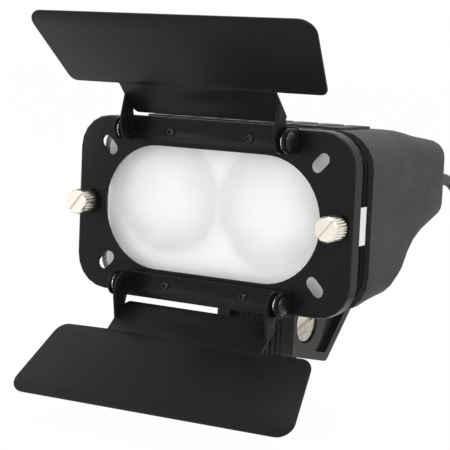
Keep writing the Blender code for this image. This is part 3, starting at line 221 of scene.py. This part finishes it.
def black_paint():
    """Satin enamel: slightly uneven gloss, a fine orange peel and a few specks of dust."""
    material, tree, shader = start("black_enamel", specular=0.12)
    tone = mix(tree, noise(tree, 38, 4), PAINT_LOW, PAINT_HIGH)
    dust = ramp(tree, spots(tree, 260), [(0.0, 1.0), (0.045, 0.6), (0.07, 0.0)])
    rare = ramp(tree, noise(tree, 90, 2), [(0.62, 0.0), (0.68, 1.0)])
    share = arithmetic(tree, "MULTIPLY", dust, rare)
    tree.links.new(mix(tree, share, tone, PAINT_DUST), shader.inputs["Base Color"])
    uneven_gloss(tree, shader, 70, 5, 0.25, 0.36)
    bump(tree, shader, noise(tree, 1500, 2), 0.00002, 0.5)
    return material


def moulded(name, low, high, grain, depth, roughness):
    """Moulded plastic with an etched grain: the grain shows as speckle and as relief."""
    material, tree, shader = start(name, specular=0.4)
    fine = noise(tree, grain, 3, 0.65)
    speckle = ramp(tree, fine, [(0.38, 0.0), (0.64, 1.0)])
    cloud = noise(tree, 22, 3)
    share = arithmetic(
        tree, "ADD",
        arithmetic(tree, "MULTIPLY", speckle, 0.65), arithmetic(tree, "MULTIPLY", cloud, 0.35),
    )
    tree.links.new(mix(tree, share, low, high), shader.inputs["Base Color"])
    uneven_gloss(tree, shader, 55, 4, roughness - 0.05, roughness + 0.06)
    bump(tree, shader, fine, depth, 0.8)
    return material


def metal(name, low, high, roughness):
    """Plated or polished metal with soft blotches and fine scratches."""
    material, tree, shader = start(name, metallic=1.0)
    tree.links.new(mix(tree, noise(tree, 160, 4), low, high), shader.inputs["Base Color"])
    uneven_gloss(tree, shader, 420, 4, roughness - 0.06, roughness + 0.08)
    stretch = add(tree, "ShaderNodeMapping")
    stretch.inputs["Scale"].default_value = (1.0, 0.08, 1.0)
    tree.links.new(coordinates(tree), stretch.inputs["Vector"])
    scratches = noise(tree, 2600, 2, where=stretch.outputs["Vector"])
    bump(tree, shader, scratches, 0.00001, 0.3)
    return material


def painted_light_tin():
    """The glass frame's tin, painted near white as painted light where the plate shades it; it
    spreads more light than it mirrors.
    """
    material, tree, shader = start("painted_light_tin_finish", metallic=0.35)
    tree.links.new(mix(tree, noise(tree, 140, 4), PAINTED_LIGHT_TIN_LOW, PAINTED_LIGHT_TIN_HIGH), shader.inputs["Base Color"])
    uneven_gloss(tree, shader, 300, 4, 0.28, 0.42)
    bump(tree, shader, noise(tree, 1200, 2), 0.00001, 0.4)
    return material


def frosted_glass():
    """Etched glass with painted light: each lamp is painted in as a bright spot in a greyer ring,
    and a painted glow lifts the whole glass.
    """
    material, tree, shader = start("frosted_glass")
    shader.inputs["Roughness"].default_value = 0.42
    # A painted glow over the whole glass
    shader.inputs["Emission Color"].default_value = WHITE
    shader.inputs["Emission Strength"].default_value = PAINTED_GLASS_GLOW

    def sums(operation, first, second):
        return arithmetic(tree, operation, first, second)

    where = coordinates(tree)
    split = add(tree, "ShaderNodeSeparateXYZ")
    tree.links.new(where, split.inputs[0])
    waver = sums("MULTIPLY", sums("SUBTRACT", noise(tree, 55, 3, where=where), 0.5), 0.5)
    # Each lamp's light is painted into the colour as a bright spot in a greyer ring
    rings = []
    for centre, height in LAMP_CENTRES:
        across = sums("DIVIDE", sums("SUBTRACT", split.outputs[0], centre), LAMP_REACH)
        over = sums("DIVIDE", sums("SUBTRACT", split.outputs[2], height), LAMP_REACH)
        squares = sums("ADD", sums("MULTIPLY", across, across), sums("MULTIPLY", over, over))
        far = sums("MULTIPLY", sums("ADD", squares, waver), 0.5)
        rings.append(ramp(tree, far, PAINTED_LAMP_RINGS))
    painted_lamp_light = sums("MINIMUM", *rings)
    cloud = ramp(tree, noise(tree, 60, 4, where=where), [(0.25, 0.0), (0.6, 1.0)])
    share = sums("ADD", sums("MULTIPLY", painted_lamp_light, 0.72), sums("MULTIPLY", cloud, 0.28))
    tone = mix(tree, share, GLASS_LOW, GLASS_HIGH)
    grain = ramp(tree, noise(tree, 1300, 3, 0.75, where=where), [(0.42, 0.0), (0.60, 1.0)])
    strength = sums("MULTIPLY", sums("SUBTRACT", 1.0, sums("MULTIPLY", share, 0.7)), 0.28)
    colour = mix(tree, sums("MULTIPLY", grain, strength), tone, GLASS_PITS)
    tree.links.new(colour, shader.inputs["Base Color"])
    bump(tree, shader, noise(tree, 1800, 3, where=where), 0.00002, 0.6)
    return material


def plain_floor():
    """Pale paper: it is white to the camera, and keeps a soft shadow."""
    material = bpy.data.materials.new("floor")
    material.use_nodes = True
    tree = material.node_tree
    tree.nodes.clear()
    paper = add(tree, "ShaderNodeBsdfDiffuse")
    paper.inputs["Color"].default_value = FLOOR_GREY
    lit = add(tree, "ShaderNodeEmission")
    lit.inputs["Color"].default_value = WHITE
    lit.inputs["Strength"].default_value = 1.0
    path = add(tree, "ShaderNodeLightPath")
    seen = arithmetic(
        tree, "MAXIMUM", path.outputs["Is Camera Ray"], path.outputs["Is Glossy Ray"]
    )
    share = arithmetic(tree, "MULTIPLY", seen, FLOOR_WHITENESS)
    blended(tree, share, paper, lit, "ShaderNodeOutputMaterial")
    return material


# The record's slots, then the tin painted near white as painted light, which the glass frame has
# instead of its slot's.
# Mouldings: name, darkest and lightest colour, grain's scale and depth, roughness.
# Metals: name, darkest and lightest colour, roughness.
MATERIALS = {
    "black_paint": black_paint(),
    "charcoal_plastic": moulded(
        "charcoal_grain", (0.010, 0.010, 0.0085), (0.042, 0.041, 0.036), 1100, 0.00012, 0.60
    ),
    "bracket_plastic": moulded(
        "bracket_moulding", (0.020, 0.020, 0.018), (0.034, 0.034, 0.031), 1400, 0.00002, 0.42
    ),
    "black_plastic": moulded(
        "black_moulding", (0.012, 0.012, 0.012), (0.020, 0.020, 0.020), 1600, 0.00001, 0.36
    ),
    "nickel": metal("satin_nickel", (0.80, 0.74, 0.66), (0.90, 0.84, 0.76), 0.26),
    "steel": metal("polished_steel", (0.74, 0.75, 0.77), (0.84, 0.85, 0.87), 0.20),
    "black_rivet": moulded(
        "rivet_black", (0.006, 0.006, 0.006), (0.010, 0.010, 0.010), 900, 0.00001, 0.30
    ),
    "frosted_glass": frosted_glass(),
    "lamp_mirror": metal("lamp_mirror", (0.86, 0.86, 0.86), (0.92, 0.92, 0.92), 0.10),
    "lamp_glass": moulded(
        "lamp_glass", (0.80, 0.82, 0.84), (0.88, 0.90, 0.92), 300, 0.00001, 0.10
    ),
    "ceramic": moulded(
        "lamp_ceramic", (0.70, 0.68, 0.64), (0.82, 0.80, 0.76), 1200, 0.00003, 0.60
    ),
    "cord_rubber": moulded(
        "cord_sheath", (0.012, 0.012, 0.013), (0.022, 0.022, 0.023), 1300, 0.00002, 0.42
    ),
    "painted_light_tin": painted_light_tin(),
}
# The glass frame takes the tin painted near white, as painted light, in place of its slot's finish
FINISH_OF = {**SLOT_OF, "glass_frame": "painted_light_tin"}

for node_name, node_object in NODES.items():
    node_object.data.materials.clear()
    node_object.data.materials.append(MATERIALS[FINISH_OF[node_name]])


# ---- Nodes with their curves smoothed and their edges broken ----

SOFT_FLAT = math.radians(0.4)
SOFT_SEGMENTS = 2
# Node, piece, body, the angle in degrees from which an edge is sharp, width of the broken edge
SOFTENED = (
    ("housing", "housing_moulding", "head", 26, 0.00025),
    ("door_frame", "pressed_frame", "head", 30, 0.0002),
    ("tilt_bracket", "bracket_moulding", "head", 30, 0.0003),
    ("thumbscrew_left", "thumbscrew_1", "left_thumbscrew", 40, 0.00012),
    ("thumbscrew_right", "thumbscrew_2", "right_thumbscrew", 40, 0.00012),
    ("tilt_screw", "clamp_screw_head", "clamp_screw", 34, 0.0002),
    ("hinge_rivet_top_left", "rivet_top_1", "head", 40, 0.0001),
    ("hinge_rivet_top_right", "rivet_top_2", "head", 40, 0.0001),
    ("hinge_rivet_bottom_left", "rivet_bottom_1", "head", 40, 0.0001),
    ("hinge_rivet_bottom_right", "rivet_bottom_2", "head", 40, 0.0001),
)


def softened(node, name, body, sharp_from, edge):
    """A piece with a node's own form, which stands for it."""
    mesh = NODES[node].data.copy()
    shape = bmesh.new()
    shape.from_mesh(mesh)
    bmesh.ops.remove_doubles(shape, verts=shape.verts, dist=MERGE)
    bmesh.ops.dissolve_limit(
        shape, angle_limit=SOFT_FLAT, verts=shape.verts, edges=shape.edges
    )
    shape.to_mesh(mesh)
    shape.free()
    mesh.shade_smooth()
    mesh.set_sharp_from_angle(angle=math.radians(sharp_from))
    piece = placed(name, mesh)
    bevel = piece.modifiers.new("edges", "BEVEL")
    bevel.width = edge
    bevel.segments = SOFT_SEGMENTS
    bevel.limit_method = "ANGLE"
    bevel.angle_limit = math.radians(sharp_from)
    bevel.harden_normals = True
    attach(piece, body)
    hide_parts(node)


for row in SOFTENED:
    softened(*row)


# ---- Doors and hinge strips ----

# The middle of the frame's front face, from which part.py measures the head
HEAD = Vector((-0.0083, -0.038, 0.088))
FACING_FRONT = Matrix.Rotation(math.radians(90), 4, "X")
FACING_SIDE = Matrix.Rotation(math.radians(90), 4, "Z") @ FACING_FRONT
GAP = 0.0003
SHEET_EDGE = 0.00018
SHEET_SHARP = math.radians(32)
EAR_INSET = 0.0001
FRAME_HALF_Z = 0.0365
HINGE_Y = -0.0070
HINGE_Z = FRAME_HALF_Z - 0.0045
HINGE_EAR = 0.0049
HINGE_HOLE = 0.0019

STRIP_SHEET = 0.0011
STRIP_HALF = 0.0403
STRIP_OUTER_Z = FRAME_HALF_Z + 0.0010
STRIP_INNER_Z = FRAME_HALF_Z - 0.0095
STRIP_CORNER = 0.0004
STRIP_RIVET = (0.0187, FRAME_HALF_Z - 0.0050)
STRIP_HOLE = 0.0015
STRIP_EAR_ROOT = 0.0005
STRIP_EAR_ROUND = HINGE_EAR * 0.96
STRIP_EAR_SINK = STRIP_SHEET * 0.4

LEAF_SHEET = 0.0010
LEAF_OFFSET = 0.0070
LEAF_START = 0.0028
LEAF_SHOULDER = 0.0186
LEAF_LENGTH = 0.0552
LEAF_NECK = {-1: 0.0362, 1: 0.0372}
LEAF_INNER_HALF = 0.0598
LEAF_OUTER_HALF = 0.0663
LEAF_OUTER_CORNER = 0.0062
LEAF_FILLET = 0.0003
LEAF_CHAMFER = 0.0024
LEAF_BEND = 0.0010
LEAF_EAR = 0.0052
LEAF_EAR_ARC = (200, 66)
LEAF_EAR_SINK = LEAF_SHEET * 0.7
LEAF_EAR_CORNERS = ((0.0046, 0.0039), (0.0080, 0.0006), (0.0134, -0.0077))


def arc(centre, radius, start_angle, end_angle, steps):
    """Points on an arc, from one angle in degrees to the other."""
    points = []
    for k in range(steps + 1):
        angle = math.radians(start_angle + (end_angle - start_angle) * k / steps)
        points.append((centre[0] + radius * math.cos(angle), centre[1] + radius * math.sin(angle)))
    return points


def hole(centre, radius):
    """A circle of 24 points."""
    return arc(centre, radius, 0, 345, 23)


def rounded_polygon(corners, steps=6):
    """The outline through corners (x, y, radius), each corner rounded to its radius."""
    points = []
    count = len(corners)
    for i, (x, y, radius) in enumerate(corners):
        here = Vector((x, y))
        back = (Vector(corners[i - 1][:2]) - here).normalized()
        ahead = (Vector(corners[(i + 1) % count][:2]) - here).normalized()
        if radius <= 0:
            points.append((x, y))
            continue
        half = math.acos(max(-1.0, min(1.0, back.dot(ahead)))) / 2
        centre = here + (back + ahead).normalized() * radius / math.sin(half)
        first = here + back * radius / math.tan(half) - centre
        last = here + ahead * radius / math.tan(half) - centre
        begin = math.atan2(first.y, first.x)
        sweep = math.atan2(first.x * last.y - first.y * last.x, first.dot(last))
        for k in range(steps + 1):
            angle = begin + sweep * k / steps
            points.append(
                (centre.x + radius * math.cos(angle), centre.y + radius * math.sin(angle))
            )
    return points


def signed_area(loop):
    return sum(a[0] * b[1] - b[0] * a[1] for a, b in zip(loop, loop[1:] + loop[:1])) / 2


def sheet(loops, thickness, matrix):
    """A sheet cut to the first loop, less the others, with its edges broken."""
    curve = bpy.data.curves.new("sheet", "CURVE")
    curve.dimensions = "2D"
    curve.fill_mode = "BOTH"
    curve.extrude = thickness / 2 - SHEET_EDGE
    curve.bevel_depth = SHEET_EDGE
    curve.bevel_resolution = 1
    curve.offset = -SHEET_EDGE
    for i, loop in enumerate(loops):
        if (signed_area(loop) > 0) != (i == 0):
            loop = loop[::-1]
        spline = curve.splines.new("POLY")
        spline.points.add(len(loop) - 1)
        spline.use_cyclic_u = True
        for point, (x, y) in zip(spline.points, loop):
            point.co = (x, y, 0, 1)
    guide = placed("sheet", curve)
    mesh = evaluated(guide)
    bpy.data.objects.remove(guide)
    shape = bmesh.new()
    shape.from_mesh(mesh)
    bmesh.ops.remove_doubles(shape, verts=shape.verts, dist=MERGE)
    bmesh.ops.transform(shape, matrix=matrix, verts=shape.verts)
    bmesh.ops.recalc_face_normals(shape, faces=shape.faces)
    shape.to_mesh(mesh)
    shape.free()
    return mesh


def painted(name, meshes, body, node):
    """One black piece from several sheets, united, which stands for a node."""
    piece = placed(name, meshes[0])
    others = []
    for mesh in meshes[1:]:
        other = placed(name + "_part", mesh)
        union = piece.modifiers.new("union", "BOOLEAN")
        union.operation = "UNION"
        union.solver = "EXACT"
        union.object = other
        others.append(other)
    mesh = evaluated(piece)
    piece.modifiers.clear()
    for other in others:
        bpy.data.objects.remove(other)
    mesh.materials.clear()
    mesh.materials.append(MATERIALS["black_paint"])
    mesh.shade_smooth()
    mesh.set_sharp_from_angle(angle=SHEET_SHARP)
    piece.data = mesh
    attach(piece, body)
    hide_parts(node)


def on_head(x, y, z):
    return Matrix.Translation(HEAD + Vector((x, y, z)))


def make_leaf(name, node, body, side, angle, inner_corner, skew=0.0):
    """A barn door: a flared sheet on a neck, and two ears bent towards its hinge."""
    turn = math.pi / 2 + angle if side > 0 else 1.5 * math.pi - angle
    root = LEAF_START + LEAF_CHAMFER
    outline = []
    for side_x in (1, -1):
        neck = LEAF_NECK[side_x]
        corners = [
            (neck - LEAF_CHAMFER, LEAF_START, LEAF_BEND),
            (neck, root, LEAF_BEND),
            (neck, LEAF_SHOULDER, LEAF_FILLET),
        ]
        flare = (
            (LEAF_INNER_HALF, LEAF_SHOULDER, inner_corner),
            (LEAF_OUTER_HALF, LEAF_LENGTH, LEAF_OUTER_CORNER),
        )
        for x, y, radius in flare:
            x *= side_x
            turned_x = x * math.cos(skew) - y * math.sin(skew)
            turned_y = x * math.sin(skew) + y * math.cos(skew)
            corners.append((turned_x * side_x, turned_y, radius))
        corners = [(side_x * x, y, radius) for x, y, radius in corners]
        outline += corners if side_x > 0 else corners[::-1]
    matrix = on_head(0, HINGE_Y, side * HINGE_Z) @ Matrix.Rotation(turn, 4, "X")
    plane = Matrix.Translation((0, 0, -side * (LEAF_OFFSET + LEAF_SHEET / 2)))
    meshes = [sheet([rounded_polygon(outline)], LEAF_SHEET, matrix @ plane)]
    height = LEAF_OFFSET + LEAF_EAR_SINK
    first, last = LEAF_EAR_ARC
    ear = [(root + LEAF_BEND, -side * height)]
    ear += arc((0, 0), LEAF_EAR, side * first, side * last, 12)
    ear += [(y, side * z) for y, z in LEAF_EAR_CORNERS]
    for side_x in (-1, 1):
        away = side_x * (LEAF_NECK[side_x] - EAR_INSET - LEAF_SHEET / 2)
        place = Matrix.Translation((away, 0, 0))
        loops = [ear, hole((0, 0), HINGE_HOLE)]
        meshes.append(sheet(loops, LEAF_SHEET, matrix @ place @ FACING_SIDE))
    painted(name, meshes, body, node)


def make_strip(name, node, side):
    """The flat strip on the frame's front, an ear bent forward at each end."""
    middle = side * (STRIP_INNER_Z + STRIP_OUTER_Z) / 2
    half_z = (STRIP_OUTER_Z - STRIP_INNER_Z) / 2
    corners = (
        (STRIP_HALF, half_z), (-STRIP_HALF, half_z), (-STRIP_HALF, -half_z), (STRIP_HALF, -half_z)
    )
    loops = [rounded_polygon([(*corner, STRIP_CORNER) for corner in corners], 3)]
    for side_x in (-1, 1):
        centre = (side_x * STRIP_RIVET[0], side * STRIP_RIVET[1] - middle)
        loops.append(hole(centre, STRIP_HOLE))
    plane = on_head(0, -GAP - STRIP_SHEET / 2, middle)
    meshes = [sheet(loops, STRIP_SHEET, plane @ FACING_FRONT)]
    root = -GAP - STRIP_EAR_SINK
    front = HINGE_Y - HINGE_EAR
    ear = rounded_polygon(
        [
            (root, side * (STRIP_INNER_Z + STRIP_EAR_ROOT), 0),
            (front, side * (HINGE_Z - HINGE_EAR), STRIP_EAR_ROUND),
            (front, side * (HINGE_Z + HINGE_EAR), STRIP_EAR_ROUND),
            (root, side * (STRIP_OUTER_Z - STRIP_EAR_ROOT), 0),
        ],
        8,
    )
    for side_x in (-1, 1):
        place = on_head(side_x * (STRIP_HALF - EAR_INSET - STRIP_SHEET / 2), 0, 0)
        loops = [ear, hole((HINGE_Y, side * HINGE_Z), HINGE_HOLE)]
        meshes.append(sheet(loops, STRIP_SHEET, place @ FACING_SIDE))
    painted(name, meshes, "head", node)


make_leaf("upper_door", "top_leaf", "top_door", 1, math.radians(41.9), 0.0036)
make_leaf(
    "lower_door", "bottom_leaf", "bottom_door", -1, math.radians(48.6), 0.0058, math.radians(-0.8)
)
make_strip("upper_strip", "hinge_strip_top", 1)
make_strip("lower_strip", "hinge_strip_bottom", -1)


# ---- Cord ----

# The run and the coil follow part.py's, but where the lead drops it keeps up to 0.9 mm to the
# right of the solid's middle, inside the solid, so that it stays out of the camera's view
CORD_DIAMETER = 0.0052
EXIT = (0.0367, 0.0709, 0.1000)
CORD_RUN = (
    EXIT,
    (0.0367, 0.0770, 0.1000),
    (0.0367, 0.0836, 0.0998),
    (0.0367, 0.0941, 0.0977),
    (0.0367, 0.1031, 0.0917),
    (0.0367, 0.1090, 0.0828),
    (0.0370, 0.1111, 0.0723),
    (0.0373, 0.1111, 0.0590),
    (0.0373, 0.1111, 0.0450),
    (0.0369, 0.1111, 0.0314),
    (0.0360, 0.1132, 0.0209),
    (0.0345, 0.1192, 0.0119),
    (0.0321, 0.1281, 0.0060),
)
RUN_LEAD_IN = 2.2
RUN_END = 0.0003
COIL_X = 0.0660
COIL_Y = 0.1500
COIL_RADIUS = 0.0355
COIL_PITCH = 0.0058
COIL_LAYER = 0.0058
COIL_BULGE = 0.35
COIL_LIFT = 0.0013
COIL_TURNS = 2.0
COIL_STEPS = 48
COIL_TAIL = 0.0120
STRAND_RADIUS = 0.00148
STRAND_STEPS = 12
# The lead's twist, and the lengths along it over which the twist comes and goes
TWIST = math.radians(-25)
TWIST_OUT = (0.018, 0.050)
TWIST_BACK = (0.120, 0.170)


def smooth_route(points, spacing):
    """Points about spacing apart on a smooth curve through the route's own points."""
    ends = [2 * Vector(points[0]) - Vector(points[1])]
    ends += [Vector(p) for p in points]
    ends.append(2 * Vector(points[-1]) - Vector(points[-2]))
    route = []
    for a, b, c, d in zip(ends, ends[1:], ends[2:], ends[3:]):
        count = max(2, round((c - b).length / spacing))
        for k in range(count):
            t = k / count
            route.append(
                0.5 * (2 * b + (c - a) * t + (2 * a - 5 * b + 4 * c - d) * t**2
                       + (3 * b - a - 3 * c + d) * t**3)
            )
    route.append(Vector(points[-1]))
    return route


def smoothed(share):
    return share * share * (3 - 2 * share)


def coil_route():
    """The coil's centreline: in along the lower layer, up, and out along the upper one."""
    low = CORD_DIAMETER / 2 + COIL_LIFT
    steps = round(COIL_TURNS * COIL_STEPS)
    climb = COIL_STEPS // 2
    points = []
    for k in range(2 * steps + climb + 1):
        angle = math.pi - 2 * math.pi * k / COIL_STEPS
        if k <= steps:
            rise = 0.0
            depth = k / COIL_STEPS
        elif k <= steps + climb:
            rise = (k - steps) / climb
            depth = COIL_TURNS + COIL_BULGE * math.sin(math.pi * rise)
        else:
            rise = 1.0
            depth = COIL_TURNS - (k - steps - climb) / COIL_STEPS
        radius = COIL_RADIUS - COIL_PITCH * depth
        x = COIL_X + radius * math.cos(angle)
        y = COIL_Y + radius * math.sin(angle)
        points.append(Vector((x, y, low + COIL_LAYER * smoothed(rise))))
    points.append(points[-1] + Vector((0, -COIL_TAIL, 0)))
    return points


def twin_section():
    """A figure of eight: two strands side by side, joined where they meet."""
    offset = CORD_DIAMETER / 2 - STRAND_RADIUS
    reach = math.pi - math.acos(offset / STRAND_RADIUS)
    section = []
    for side, middle in ((1, 0), (-1, math.pi)):
        for k in range(STRAND_STEPS):
            angle = reach * (2 * k / STRAND_STEPS - 1) + middle
            x = side * offset + STRAND_RADIUS * math.cos(angle)
            section.append((x, STRAND_RADIUS * math.sin(angle)))
    return section


def eased(value, span):
    """0 before the span, 1 after it, and smooth between them."""
    return smoothed(min(1.0, max(0.0, (value - span[0]) / (span[1] - span[0]))))


def twin_lead(name, path):
    """The lead swept along its path, a little twisted where it droops."""
    section = twin_section()
    mesh = bpy.data.meshes.new(name)
    shape = bmesh.new()
    rings = []
    wide = Vector((0, 0, 1))
    gone = 0.0
    for i, place in enumerate(path):
        along = (path[min(i + 1, len(path) - 1)] - path[max(i - 1, 0)]).normalized()
        wide = (wide - along * wide.dot(along)).normalized()
        if i:
            gone += (place - path[i - 1]).length
        turn = TWIST * (eased(gone, TWIST_OUT) - eased(gone, TWIST_BACK))
        across = Matrix.Rotation(turn, 3, along) @ wide
        thick = along.cross(across)
        rings.append([shape.verts.new(place + across * x + thick * y) for x, y in section])
    for near, far in zip(rings, rings[1:]):
        for i in range(len(section)):
            j = (i + 1) % len(section)
            shape.faces.new((near[i], near[j], far[j], far[i])).smooth = True
    shape.faces.new(rings[0][::-1])
    shape.faces.new(rings[-1])
    bmesh.ops.recalc_face_normals(shape, faces=shape.faces)
    shape.to_mesh(mesh)
    shape.free()
    mesh.materials.append(MATERIALS["cord_rubber"])
    lead = placed(name, mesh)
    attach(lead, "head")
    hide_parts("cord", "cord_coil")
    return lead


def make_cord():
    coil = coil_route()
    entry = (coil[1] - coil[0]).normalized()
    lead_in = coil[0] - entry * RUN_LEAD_IN * CORD_DIAMETER
    run_end = coil[0] - entry * RUN_END
    route = list(CORD_RUN) + [tuple(lead_in), tuple(run_end)]
    path = smooth_route(route, CORD_DIAMETER / 2) + coil
    twin_lead("power_lead", path)


make_cord()


# ---- Stage ----

FLOOR_HALF = 6
WORLD_SOFTNESS = 0.45
LIGHT_TARGET = (0, 0, 0.09)
# Name, place, width, height, power
LIGHTS = (
    ("overhead", (0.10, 0.10, 1.30), 1.1, 0.9, 9),
    ("key", (0.90, -0.55, 0.85), 0.7, 0.7, 6),
    ("fill", (-0.90, -0.80, 0.45), 0.8, 0.8, 3),
)


def make_floor():
    half = FLOOR_HALF
    corners = [(-half, -half, 0), (half, -half, 0), (half, half, 0), (-half, half, 0)]
    mesh = bpy.data.meshes.new("floor")
    mesh.from_pydata(corners, [], [(0, 1, 2, 3)])
    mesh.materials.append(plain_floor())
    placed("floor", mesh)


def background(tree, strength):
    node = add(tree, "ShaderNodeBackground")
    node.inputs["Color"].default_value = WHITE
    node.inputs["Strength"].default_value = strength
    return node


def make_world():
    """Soft light from all round, which the camera, gloss and glass see as plain white."""
    world = bpy.data.worlds.new("studio")
    bpy.context.scene.world = world
    world.use_nodes = True
    tree = world.node_tree
    tree.nodes.clear()
    path = add(tree, "ShaderNodeLightPath")
    seen = arithmetic(
        tree, "MAXIMUM", path.outputs["Is Camera Ray"], path.outputs["Is Transmission Ray"]
    )
    seen = arithmetic(tree, "MAXIMUM", seen, path.outputs["Is Glossy Ray"])
    soft = background(tree, WORLD_SOFTNESS)
    white = background(tree, 1.0)
    blended(tree, seen, soft, white, "ShaderNodeOutputWorld")


def area_light(name, place, width, height, power):
    data = bpy.data.lights.new(name, "AREA")
    data.shape = "RECTANGLE"
    data.size = width
    data.size_y = height
    data.energy = power
    aim = (Vector(LIGHT_TARGET) - Vector(place)).to_track_quat("-Z", "Y")
    placed(name, data).matrix_world = Matrix.Translation(place) @ aim.to_matrix().to_4x4()


make_floor()
make_world()
for light in LIGHTS:
    area_light(*light)

bpy.context.scene.view_settings.view_transform = "Standard"
